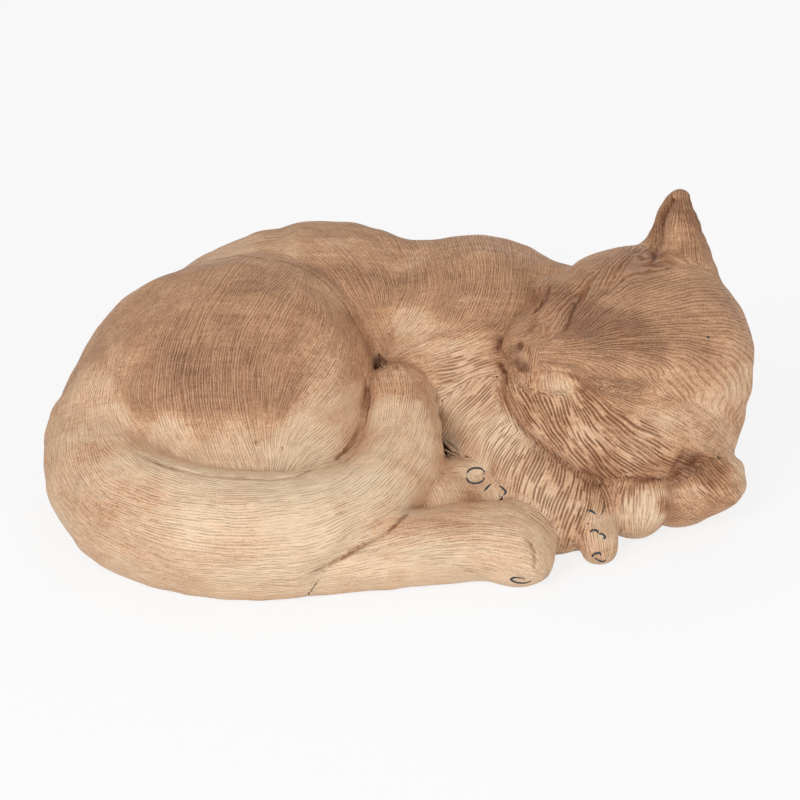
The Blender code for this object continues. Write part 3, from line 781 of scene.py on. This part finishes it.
def guide_lines(name):
    """Points along the fur lines of a block, and the way that the fur goes there."""
    drawn = [smooth_route(tuple((*pixel, 0.0, 0.0) for pixel in line), 6)[:, :2]
             for line in fur_lines[name]]
    rows = []
    for points in np.split(seen(np.concatenate(drawn)), np.cumsum([len(line) for line in drawn])[:-1]):
        ways = np.gradient(points, axis=0)
        ways /= np.linalg.norm(ways, axis=1)[:, None] + 1e-6
        rows.append(np.hstack([points, ways]))
    return np.concatenate(rows).astype(np.float32)


def fur_and_tone(points, lines):
    """The way the fur lies at each point, how brown and how coarse it is, and its stain and painted shade
    from the dabs.
    """
    rows = []
    for p in np.array_split(points, len(points) // 8000 + 1):
        near = 1 / (((p[:, None] - lines[None, :, :3]) ** 2).sum(2) + 4.0) ** 2
        flow = (near / near.sum(1)[:, None]) @ lines[:, 3:]
        near = nearness(p, toned)
        height_tone = 0.35 + 0.4 * ramp(p[:, 2], 10, 60)
        tone = (near @ toned[:, 4] + 0.02 * height_tone) / (near.sum(1) + 0.02)
        near = nearness(p, broad)
        coarse = near @ broad[:, 4] / (near.sum(1) + 0.02)
        stain_and_shade = (nearness(p, stain_and_shade_spots) * stain_and_shade_spots[:, 4]).max(1)
        rows.append(np.column_stack([flow, tone, coarse, stain_and_shade]))
    rows = np.concatenate(rows)
    return rows[:, :3], rows[:, 3], rows[:, 4], rows[:, 5]


def stroke_numbers(points, faces, normals, flow, gaps, ties):
    """Numbers the strokes across a skin, and tells how often each has to be doubled.

    The numbers should rise by one a gap across the fur and stay the same along it. They are found
    by conjugate gradients, with broad patches eased first, and the ties are the weights.
    """
    across = np.cross(normals, flow)
    across /= np.linalg.norm(across, axis=1)[:, None] + 1e-6
    tri = np.concatenate([faces[:, [0, 1, 2]], faces[:, [0, 2, 3]]])
    a, b, c = points[tri[:, 0]], points[tri[:, 1]], points[tri[:, 2]]
    upright = np.cross(b - a, c - a)
    size = np.linalg.norm(upright, axis=1)[:, None] + 1e-9
    upright /= size
    rise = np.stack([np.cross(upright, edge) for edge in (c - b, a - c, b - a)], 1) / size[:, None]
    side = across[tri].mean(1)
    side -= (side * upright).sum(1)[:, None] * upright
    side /= np.linalg.norm(side, axis=1)[:, None] + 1e-6
    rise_across = (rise * side[:, None]).sum(2)
    rise_along = (rise * np.cross(upright, side)[:, None]).sum(2)
    area = size / 2 * ties[tri].min(1)[:, None]
    hold_along = 12.0
    patch_width = 6.0

    def gathered(values):
        return np.bincount(tri.ravel(), values.ravel(), len(points))

    def pulls(numbers):
        there = numbers[tri]
        along_pull = hold_along * (there * rise_along).sum(1)[:, None] * rise_along
        return gathered(area * (along_pull + (there * rise_across).sum(1)[:, None] * rise_across))

    used = np.unique(tri)
    cells = np.floor(points[used] / patch_width).astype(int)
    patch = np.zeros(len(points), int)
    patch[used] = np.unique(cells, axis=0, return_inverse=True)[1].ravel()
    patches = patch.max() + 1
    pair = patch[tri][:, :, None] * patches + patch[tri][:, None, :]
    strength = area[:, :, None] * (hold_along * rise_along[:, :, None] * rise_along[:, None, :]
                                   + rise_across[:, :, None] * rise_across[:, None, :])
    broad_pulls = np.bincount(pair.ravel(), strength.ravel(), patches * patches)
    broad_ease = np.linalg.inv(broad_pulls.reshape(patches, patches) + 1e-4 * np.eye(patches))
    ease = 1 / (gathered(area * (hold_along * rise_along ** 2 + rise_across ** 2)) + 1e-6)

    def eased(pull):
        there = broad_ease @ np.bincount(patch[used], pull[used], patches)
        out = ease * pull
        out[used] += there[patch[used]]
        return out

    numbers = np.zeros(len(points))
    closeness = (1 / gaps)[tri].mean(1)[:, None]
    wanted = closeness
    for _ in range(4):
        left = gathered(area * wanted * rise_across) - pulls(numbers)
        way = eased(left)
        power = left @ way
        for _ in range(50):
            pulled = pulls(way)
            step = power / (way @ pulled + 1e-12)
            numbers += step * way
            left -= step * pulled
            turned = eased(left)
            next_power = left @ turned
            way = turned + next_power / (power + 1e-12) * way
            power = next_power
        found = (numbers[tri] * rise_across).sum(1)[:, None]
        wanted = np.clip((found + wanted) / 2, 0.3 * closeness, 4 * closeness)
    shares = gathered(np.repeat(area, 3, 1)) + 1e-6
    octave = np.log2(closeness / np.clip(np.abs(found), 0.12 * closeness, 4 * closeness))
    octaves = gathered(np.repeat(area * octave, 3, 1)) / shares
    for _ in range(25):
        octaves = gathered(np.repeat(area * octaves[tri].mean(1)[:, None], 3, 1)) / shares
    return numbers.astype(np.float32), octaves.astype(np.float32)


def cut_in_nine(count, faces, chosen):
    """The chosen faces of a skin cut in nine, with the points as shares of the old ones.

    Gives the corners and shares of each point, the small faces, the faces left as they are, and
    the faces beside the chosen ones, which take in the new points on their edges.
    """
    def edge_keys(some):
        turned = some[:, [1, 2, 3, 0]]
        return np.minimum(some, turned) * count + np.maximum(some, turned)

    small = faces[chosen]
    edges, edge_of = np.unique(edge_keys(small), return_inverse=True)
    low, high = edges // count, edges % count
    back = small > small[:, [1, 2, 3, 0]]
    first = count + 2 * edge_of.reshape(-1, 4) + back
    second = count + 2 * edge_of.reshape(-1, 4) + ~back
    inner = count + 2 * len(edges) + 4 * np.arange(len(small))
    lattice = np.empty((len(small), 4, 4), int)
    lattice[:, 0, 0], lattice[:, 0, 3], lattice[:, 3, 3], lattice[:, 3, 0] = small.T
    lattice[:, 0, 1], lattice[:, 0, 2] = first[:, 0], second[:, 0]
    lattice[:, 1, 3], lattice[:, 2, 3] = first[:, 1], second[:, 1]
    lattice[:, 3, 2], lattice[:, 3, 1] = first[:, 2], second[:, 2]
    lattice[:, 2, 0], lattice[:, 1, 0] = first[:, 3], second[:, 3]
    for turn, (r, c) in enumerate(((1, 1), (1, 2), (2, 1), (2, 2))):
        lattice[:, r, c] = inner + turn
    corners = np.concatenate([np.arange(count)[:, None].repeat(4, 1),
                              np.stack([low, high, low, high], 1).repeat(2, 0), small.repeat(4, 0)])
    inner_shares = [[(1 - r) * (1 - c), (1 - r) * c, r * c, r * (1 - c)]
                    for r in (1 / 3, 2 / 3) for c in (1 / 3, 2 / 3)]
    shares = np.concatenate([np.tile([1.0, 0.0, 0.0, 0.0], (count, 1)),
                             np.tile([[2 / 3, 1 / 3, 0, 0], [1 / 3, 2 / 3, 0, 0]], (len(edges), 1)),
                             np.tile(inner_shares, (len(small), 1))])
    pieces = np.concatenate([lattice[:, r:r + 2, c:c + 2].reshape(-1, 4)[:, [0, 1, 3, 2]]
                             for r in range(3) for c in range(3)])
    others = faces[~chosen]
    keys = edge_keys(others)
    touched = np.isin(keys, edges).any(1)
    beside = []
    for face, face_keys in zip(others[touched], keys[touched]):
        loop = []
        for at, to, key in zip(face, np.roll(face, -1), face_keys):
            loop.append(int(at))
            spot = int(np.searchsorted(edges, key))
            if spot < len(edges) and edges[spot] == key:
                pair = [count + 2 * spot, count + 2 * spot + 1]
                loop += pair if at < to else pair[::-1]
        beside.append(loop)
    return corners, shares, pieces, others[~touched], beside


stroke_luck = np.random.default_rng(11).uniform(0, 1, (997, 4))


def groove_of(numbers, p):
    """How deep the V-tool went at points, 0 to 1: one cut a stroke, with its own start and end."""
    numbers = numbers + 0.30 * np.sin(p @ (0.23, 0.14, 0.12)) + 0.14 * np.sin(p @ (-0.35, 0.4, 0.2))
    number = np.floor(numbers).astype(int)
    luck = stroke_luck[number % len(stroke_luck)]
    off = np.abs(numbers - number - 0.40 - 0.20 * luck[:, 0])
    swing = np.sin(p / (1.9, 1.6, 1.7) + 2 * math.pi * luck[:, 1:]).sum(1)
    return (0.15 + 0.85 * ramp(swing, -1.5, 0.0)) * np.clip(1 - off / 0.40, 0, 1)


def turned_out(points, faces):
    """The outward way at each point, from the faces round it."""
    a, b, c, d = points[faces.T]
    spread = np.cross(c - a, d - b)
    ways = np.stack([np.bincount(faces.ravel(), spread[:, axis].repeat(4), len(points))
                     for axis in range(3)], 1)
    return ways / (np.linalg.norm(ways, axis=1)[:, None] + 1e-9)


# The wood: pale and close-grained, darker where hands have been, and redder and darker with stain
# and with painted shade in its hollows. The valleys of the fur strokes carry painted shade and
# their ridges a painted highlight. Two node groups make the strokes and the colours.
def add_node(tree, kind, inputs, **settings):
    """A shader node with its settings, and its inputs set or linked."""
    node = tree.nodes.new("ShaderNode" + kind)
    for key, value in settings.items():
        setattr(node, key, value)
    for key, value in inputs.items():
        if isinstance(value, bpy.types.NodeSocket):
            tree.links.new(value, node.inputs[key])
        else:
            node.inputs[key].default_value = value
    return node


def sums(tree, operation, *values):
    """The outcome of a sum on numbers."""
    return add_node(tree, "Math", dict(enumerate(values)), operation=operation).outputs[0]


def vectors(tree, operation, *values):
    """The outcome of a sum on vectors."""
    return add_node(tree, "VectorMath", dict(enumerate(values)), operation=operation).outputs[0]


def shade(tree, low, high, share, blend="MIX"):
    """A colour between two, or one laid over the other."""
    node = add_node(tree, "Mix", {0: share, 6: low, 7: high}, data_type="RGBA", blend_type=blend)
    return node.outputs[2]


def level(tree, value, low, high, to_low=0.0, to_high=1.0):
    """A number moved from one range to another and kept inside it."""
    node = add_node(tree, "MapRange", {0: value, 1: low, 2: high, 3: to_low, 4: to_high})
    return node.outputs[0]


def clouds(tree, place, scale, detail):
    """Soft random clouds, 0 to 1."""
    return add_node(tree, "TexNoise", {"Vector": place, "Scale": scale, "Detail": detail}).outputs[0]


def mark(tree, label):
    """A value that the mesh carries at its points."""
    return add_node(tree, "Attribute", {}, attribute_name=label).outputs["Fac"]


def paint(red, green, blue):
    """A colour as a photograph shows it, 0 to 255, as the shader takes it."""
    return tuple(((c / 255 + 0.055) / 1.055) ** 2.4 for c in (red, green, blue)) + (1.0,)


strokes = bpy.data.node_groups.new("cut_strokes", "ShaderNodeTree")
strokes.interface.new_socket("Fineness", in_out="INPUT", socket_type="NodeSocketFloat")
strokes.interface.new_socket("Ridge", in_out="OUTPUT", socket_type="NodeSocketFloat")
fineness = strokes.nodes.new("NodeGroupInput").outputs["Fineness"]
place = strokes.nodes.new("ShaderNodeTexCoord").outputs["Object"]
coarse = mark(strokes, "coarse")
waver = level(strokes, clouds(strokes, place, 70.0, 2.0), 0.2, 0.8, -0.6, 0.6)
small_waver = level(strokes, clouds(strokes, place, 260.0, 1.0), 0.2, 0.8, -0.12, 0.12)
count = sums(strokes, "MULTIPLY", mark(strokes, "stroke"), fineness)
count = sums(strokes, "ADD", sums(strokes, "ADD", count, waver), small_waver)
number = sums(strokes, "FLOOR", count)
luck = add_node(strokes, "TexWhiteNoise", {"W": number}, noise_dimensions="1D").outputs["Value"]
middle = level(strokes, luck, 0.0, 1.0, 0.28, 0.72)
off = sums(strokes, "ABSOLUTE", sums(strokes, "SUBTRACT", sums(strokes, "FRACT", count), middle))
aside = add_node(strokes, "CombineXYZ", {0: sums(strokes, "MULTIPLY", number, 0.137),
                                         1: sums(strokes, "MULTIPLY", number, 0.071)}).outputs[0]
breaks = clouds(strokes, vectors(strokes, "ADD", place, aside), 170.0, 3.0)
depth = sums(strokes, "MULTIPLY", level(strokes, breaks, 0.36, 0.60, 0.20, 1.0),
             level(strokes, coarse, -0.9, -0.1))
half_width = level(strokes, coarse, 0.0, 1.0, 0.24, 0.36)
inside = sums(strokes, "SUBTRACT", 1.0, sums(strokes, "DIVIDE", off, half_width))
cut = sums(strokes, "MULTIPLY", depth, sums(strokes, "MAXIMUM", inside, 0.0))
given = strokes.nodes.new("NodeGroupOutput")
strokes.links.new(sums(strokes, "SUBTRACT", 1.0, cut), given.inputs["Ridge"])

grain = bpy.data.node_groups.new("carved_wood", "ShaderNodeTree")
grain.interface.new_socket("Ridge", in_out="INPUT", socket_type="NodeSocketFloat")
grain.interface.new_socket("Color", in_out="OUTPUT", socket_type="NodeSocketColor")
grain.interface.new_socket("Roughness", in_out="OUTPUT", socket_type="NodeSocketFloat")
ridge = grain.nodes.new("NodeGroupInput").outputs["Ridge"]
place = grain.nodes.new("ShaderNodeTexCoord").outputs["Object"]
bands = clouds(grain, vectors(grain, "MULTIPLY", place, (9.0, 60.0, 60.0)), 1.0, 3.0)
threads = clouds(grain, vectors(grain, "MULTIPLY", place, (40.0, 500.0, 500.0)), 1.0, 2.0)
patches = clouds(grain, place, 60.0, 3.0)
grit = clouds(grain, place, 1400.0, 2.0)
tone = mark(grain, "tone")
swings = ((bands, 0.3, 0.16), (threads, 0.3, 0.10), (patches, 0.3, 0.10), (grit, 0.25, 0.22))
for cloud, low, swing in swings:
    tone = sums(grain, "ADD", tone, level(grain, cloud, low, 1 - low, -swing, swing))
cream = paint(234, 206, 174)
tan = paint(207, 157, 117)
brown = paint(130, 85, 58)
# The next two colours are painted light: shade painted into the valleys of the strokes, and a highlight
# painted onto their ridges.
valley_painted_shade = paint(104, 60, 36)
ridge_painted_highlight = paint(240, 216, 186)
# A reddish brown laid over the wood: stain, and painted shade in the hollows and creases.
stain_and_shade_brown = paint(150, 108, 84)
pale_wood = shade(grain, cream, tan, level(grain, tone, 0.08, 0.72))
wood = shade(grain, pale_wood, brown, level(grain, tone, 0.55, 1.28))
# Painted shade: the stroke valleys are painted darker, more so in the open grooves, and the ridges get a
# painted highlight in a paler cream.
painted_valley_shade = sums(grain, "MULTIPLY", level(grain, ridge, 1.0, 0.1),
                level(grain, mark(grain, "coarse"), 0.0, 1.0, 0.30, 0.84))
shaded = shade(grain, wood, valley_painted_shade, painted_valley_shade)
lit = shade(grain, shaded, ridge_painted_highlight, level(grain, ridge, 0.75, 1.0, 0.0, 0.16))
stain_and_shade_laid = shade(grain, lit, stain_and_shade_brown, sums(grain, "MULTIPLY", mark(grain, "stain_and_shade"), 0.85), "MULTIPLY")
given = grain.nodes.new("NodeGroupOutput")
grain.links.new(stain_and_shade_laid, given.inputs["Color"])
grain.links.new(level(grain, ridge, 0.0, 1.0, 0.72, 0.55), given.inputs["Roughness"])


stroke_depth = 0.30


def wood_of(name):
    """The material of one block: its strokes, fine or coarse, on the wood."""
    material = bpy.data.materials.new("wood_" + name)
    material.use_nodes = True
    tree = material.node_tree
    surface = tree.nodes["Principled BSDF"]
    octave = mark(tree, "octave")
    whole_octave = sums(tree, "FLOOR", octave)
    doubled = sums(tree, "POWER", 2.0, whole_octave)
    share = level(tree, sums(tree, "SUBTRACT", octave, whole_octave), 0.3, 0.7)
    ridges = []
    for fineness in (1.0, 2.0, 1.7, 3.4):
        cuts = add_node(tree, "Group", {}, node_tree=strokes)
        tree.links.new(sums(tree, "MULTIPLY", doubled, fineness), cuts.inputs["Fineness"])
        ridges.append(cuts.outputs["Ridge"])
    ridge = add_node(tree, "Mix", {0: share, 2: ridges[0], 3: ridges[1]}).outputs[0]
    fine_ridge = add_node(tree, "Mix", {0: share, 2: ridges[2], 3: ridges[3]}).outputs[0]
    ridge = sums(tree, "MULTIPLY", ridge, level(tree, fine_ridge, 0.0, 1.0, 0.55, 1.0))
    open_ridge = sums(tree, "SUBTRACT", level(tree, fine_ridge, 0.0, 1.0, 0.75, 1.0), mark(tree, "groove"))
    ridge = add_node(tree, "Mix", {0: mark(tree, "deep"), 2: ridge, 3: open_ridge}).outputs[0]
    looks = add_node(tree, "Group", {}, node_tree=grain)
    tree.links.new(ridge, looks.inputs["Ridge"])
    tree.links.new(looks.outputs["Color"], surface.inputs["Base Color"])
    tree.links.new(looks.outputs["Roughness"], surface.inputs["Roughness"])
    surface.inputs["Specular IOR Level"].default_value = 0.25
    bump = add_node(tree, "Bump", {"Height": ridge, "Distance": stroke_depth * MM, "Strength": 1.0})
    tree.links.new(bump.outputs[0], surface.inputs["Normal"])
    return material


# The carved blocks: each gets its fur and its wood. Where the fur is coarse, its skin is cut finer
# and the grooves are sunk into it, away from the joints. The numbers of the strokes are tied
# loosely in deep hollows, on the far side, and along a line under the eye, where the ruff starts.
stroke_gap = 1.0
groove_depth = 0.8
hollow_reach = 2.0
open_from = 0.30
fully_open = 0.65
floor_clearance = 1.5
seam_clearance = 0.5
full_depth_clearance = 1.8
toned = placed([dab for dabs in tone_dabs.values() for dab in dabs])
broad = placed(coarse_dabs)
stain_and_shade_spots = placed(stain_and_shade_dabs)
break_route = smooth_route(tuple((*place, 0.0) for place in seen(fur_break)), 4)
for row, (name, (points, faces, normals, on_body, on_joint)) in enumerate(blocks.items()):
    flow, tone, coarse, stain_and_shade = fur_and_tone(points, guide_lines(name))
    normals = normals / np.linalg.norm(normals, axis=1)[:, None]
    hollow = np.zeros(len(points), np.float32)
    for way in np.vstack([np.eye(3), -np.eye(3)]) * hollow_reach:
        hollow -= shared_out(body_and_joints, points + way.astype(np.float32))[0]
    # Painted shade: the hollower a point lies, the more of the reddish brown it gets, standing in for the
    # shade in creases.
    stain_and_shade = np.maximum(stain_and_shade, ramp(hollow / 4, 0.15, 1.0))
    ties = 1 - 0.9 * ramp(hollow, 2.2, 3.4)
    if name == "head":
        ties = np.maximum(ties * ramp(along(points, break_route), 0.6, 2.0), 0.02)
    else:
        sureness = np.clip(np.linalg.norm(np.cross(normals, flow), axis=1) / 0.6, 0, 1)
        ties = np.maximum(ties * (1 - 0.9 * ramp(normals @ look, 0.1, 0.5)) * sureness ** 2, 0.08)
    outer = faces[on_body[faces].all(1)]
    gaps = stroke_gap + 0.5 * np.maximum(coarse, 0)
    stroke, octave = stroke_numbers(points, outer, normals, flow, gaps, ties)
    stroke -= stroke[outer].min()
    seam_gap = -shared_out(body_and_joints, points)[row + 1]
    free = on_body & ~on_joint & (coarse > open_from) & (seam_gap > seam_clearance)
    chosen = (free & (points[:, 2] > floor_clearance))[faces].all(1)
    deep = ramp(coarse, open_from, fully_open) * ramp(seam_gap, seam_clearance, full_depth_clearance)
    deep[faces[~chosen]] = 0
    corners, shares, pieces, plain, beside = cut_in_nine(len(points), faces, chosen)
    points, normals, tone, coarse, stain_and_shade, octave, stroke, deep = [
        np.einsum("ij,ij...->i...", shares, values[corners])
        for values in (points, normals, tone, coarse, stain_and_shade, octave, stroke, deep)]
    fineness = 2.0 ** np.floor(octave)
    share = np.clip((octave - np.floor(octave) - 0.3) / 0.4, 0, 1)
    groove = ((1 - share) * groove_of(stroke * fineness, points)
              + share * groove_of(2 * stroke * fineness, points)) * (deep > 0)
    sunk = points - normals * (groove_depth * deep * (groove - 0.2))[:, None]
    quads = np.concatenate([plain, pieces])
    normals = normals + turned_out(sunk, quads) - turned_out(points, quads)
    normals /= np.linalg.norm(normals, axis=1)[:, None]
    corner_list = np.concatenate([quads.ravel(), np.array([at for loop in beside for at in loop], int)])
    sides = np.concatenate([np.full(len(quads), 4), np.array([len(loop) for loop in beside], int)])
    mesh = bpy.data.meshes.new(name)
    mesh.vertices.add(len(sunk))
    mesh.vertices.foreach_set("co", ((sunk - box_middle) * MM).astype(np.float32).ravel())
    mesh.loops.add(len(corner_list))
    mesh.loops.foreach_set("vertex_index", corner_list.astype(np.int32))
    mesh.polygons.add(len(sides))
    mesh.polygons.foreach_set("loop_start", (np.cumsum(sides) - sides).astype(np.int32))
    mesh.update(calc_edges=True)
    mesh.shade_smooth()
    mesh.normals_split_custom_set_from_vertices(normals)
    for label, values in (("tone", tone), ("octave", octave), ("stroke", stroke), ("coarse", coarse),
                          ("stain_and_shade", stain_and_shade), ("deep", deep), ("groove", groove)):
        marks = mesh.attributes.new(label, "FLOAT", "POINT")
        marks.data.foreach_set("value", values.astype(np.float32))
    mesh.materials.append(wood_of(name))
    piece = bpy.data.objects.new("carved_" + name, mesh)
    scene.collection.objects.link(piece)
    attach(piece, "root")
    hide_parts(name)


# The claws: drawn on the finished paws with a blue-black pen, and a dark dot of the same ink in the head,
# painted shade standing in for a pin hole.
ink_and_hole_shade = bpy.data.materials.new("pen_ink_and_hole_shade")
ink_and_hole_shade.use_nodes = True
tree = ink_and_hole_shade.node_tree
place = tree.nodes.new("ShaderNodeTexCoord").outputs["Object"]
thin = clouds(tree, place, 900.0, 2.0)
worn = shade(tree, paint(28, 34, 44), paint(66, 68, 74), level(tree, thin, 0.45, 0.7))
tree.links.new(worn, tree.nodes["Principled BSDF"].inputs["Base Color"])
tree.nodes["Principled BSDF"].inputs["Roughness"].default_value = 0.6
pen_lines = {
    "inner_hind_paw": [
        [(467, 473), (470, 470), (475, 468.5), (481, 469), (485, 472)],
        [(466, 478), (469, 482.5), (475, 484), (482, 482), (485, 478)],
        [(484.5, 491), (488, 487.5), (491, 484.5)],
        [(499.5, 486), (504, 489), (506, 492.5), (502.5, 498), (499.5, 500.5)],
    ],
    "hind_foot": [
        [(525, 578.5), (519, 577), (513, 577.5), (511.5, 579.5), (517, 582), (525, 582.5), (531, 580.5)],
    ],
    "near_forepaw": [
        [(587, 510.5), (591, 511), (595.5, 514.5)], [(587.5, 523), (588, 523.4), (588.5, 523)],
        [(590.7, 532.5), (592.5, 530.5), (597, 531), (598, 533)],
        [(599, 534), (602.5, 534.5), (605, 537.5), (603, 539)],
        [(592.5, 557), (594.5, 553.5), (599.5, 553), (601, 555.5)],
        [(595, 557.5), (599, 560), (603.5, 561), (605, 559.5)],
    ],
    # A dark dot: painted shade where the head has a pin hole.
    "head": [[(706.8, 337), (708, 337.5), (709.2, 337)]],
}
pen_half_width = 0.60
pen_half_height = 0.30
pen_sunk = 0.12
pen_sides = 6
for name, lines in pen_lines.items():
    points = []
    faces = []
    for line in lines:
        route = smooth_route(tuple((*place, 0.0) for place in seen(line)), 4)[:, :3]
        way = np.gradient(route, axis=0)
        way /= np.linalg.norm(way, axis=1)[:, None] + 1e-6
        side = np.cross(way, -look)
        side /= np.linalg.norm(side, axis=1)[:, None]
        over = np.cross(side, way)
        for i, (at, side_way, over_way) in enumerate(zip(route + pen_sunk * look, side, over)):
            swell = 0.6 + 0.4 * math.sin(math.pi * (i + 0.5) / len(route))
            first = len(points)
            for turn in range(pen_sides):
                angle = 2 * math.pi * turn / pen_sides
                points.append(at + swell * (pen_half_width * math.cos(angle) * side_way
                                            + pen_half_height * math.sin(angle) * over_way))
                if i:
                    after = (turn + 1) % pen_sides
                    faces.append((first - pen_sides + turn, first - pen_sides + after,
                                  first + after, first + turn))
        start = len(points) - pen_sides * len(route)
        faces.append(tuple(range(start + pen_sides - 1, start - 1, -1)))
        faces.append(tuple(range(len(points) - pen_sides, len(points))))
    mesh = bpy.data.meshes.new("pen_" + name)
    mesh.from_pydata([tuple((point - box_middle) * MM) for point in points], [], faces)
    mesh.shade_smooth()
    mesh.materials.append(ink_and_hole_shade)
    piece = bpy.data.objects.new("pen_" + name, mesh)
    scene.collection.objects.link(piece)
    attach(piece, "root")


# The room: a pale floor and backdrop, with soft lamps above, in front and to the left.
floor_mesh = bpy.data.meshes.new("floor")
floor_mesh.from_pydata([(-4, -4, 0), (4, -4, 0), (4, 4, 0), (-4, 4, 0)], [], [(0, 1, 2, 3)])
floor = bpy.data.objects.new("floor", floor_mesh)
scene.collection.objects.link(floor)
floor_paint = bpy.data.materials.new("white_floor")
floor_paint.use_nodes = True
tree = floor_paint.node_tree


def shows_background(tree):
    """1 for the rays that show the background: from the camera, off a shine or through glass."""
    path = tree.nodes.new("ShaderNodeLightPath").outputs
    straight = sums(tree, "MAXIMUM", path["Is Camera Ray"], path["Is Glossy Ray"])
    return sums(tree, "MAXIMUM", straight, path["Is Transmission Ray"])


surface = tree.nodes["Principled BSDF"]
surface.inputs["Base Color"].default_value = (0.9, 0.9, 0.9, 1)
surface.inputs["Roughness"].default_value = 0.9
glow = add_node(tree, "Emission", {"Color": (1, 1, 1, 1), "Strength": 1.0}).outputs[0]
share = sums(tree, "MULTIPLY", shows_background(tree), 0.8)
mix = add_node(tree, "MixShader", {0: share, 1: surface.outputs[0], 2: glow}).outputs[0]
tree.links.new(mix, tree.nodes["Material Output"].inputs["Surface"])
floor_mesh.materials.append(floor_paint)

world = bpy.data.worlds.new("studio")
scene.world = world
world.use_nodes = True
sky = world.node_tree.nodes["Background"]
sky.inputs["Color"].default_value = (1, 1, 1, 1)
sky.inputs["Strength"].default_value = 0.50
tree = world.node_tree
white = add_node(tree, "Background", {"Color": (1, 1, 1, 1), "Strength": 1.0}).outputs[0]
mix = add_node(tree, "MixShader", {0: shows_background(tree), 1: sky.outputs[0], 2: white}).outputs[0]
tree.links.new(mix, tree.nodes["World Output"].inputs["Surface"])

lamps = {
    "key lamp": ((-0.8, -1.1, 1.1), 1.0, 11.5),
    "front lamp": ((0.5, -1.5, 0.5), 1.2, 9.5),
    "back lamp": ((0.2, 1.1, 1.1), 0.9, 2.0),
}
for name, (place, size, power) in lamps.items():
    lamp_data = bpy.data.lights.new(name, "AREA")
    lamp_data.energy = power
    lamp_data.size = size
    lamp = bpy.data.objects.new(name, lamp_data)
    lamp.location = place
    lamp.rotation_euler = (Vector((0, 0, 0.05)) - Vector(place)).to_track_quat("-Z", "Y").to_euler()
    scene.collection.objects.link(lamp)
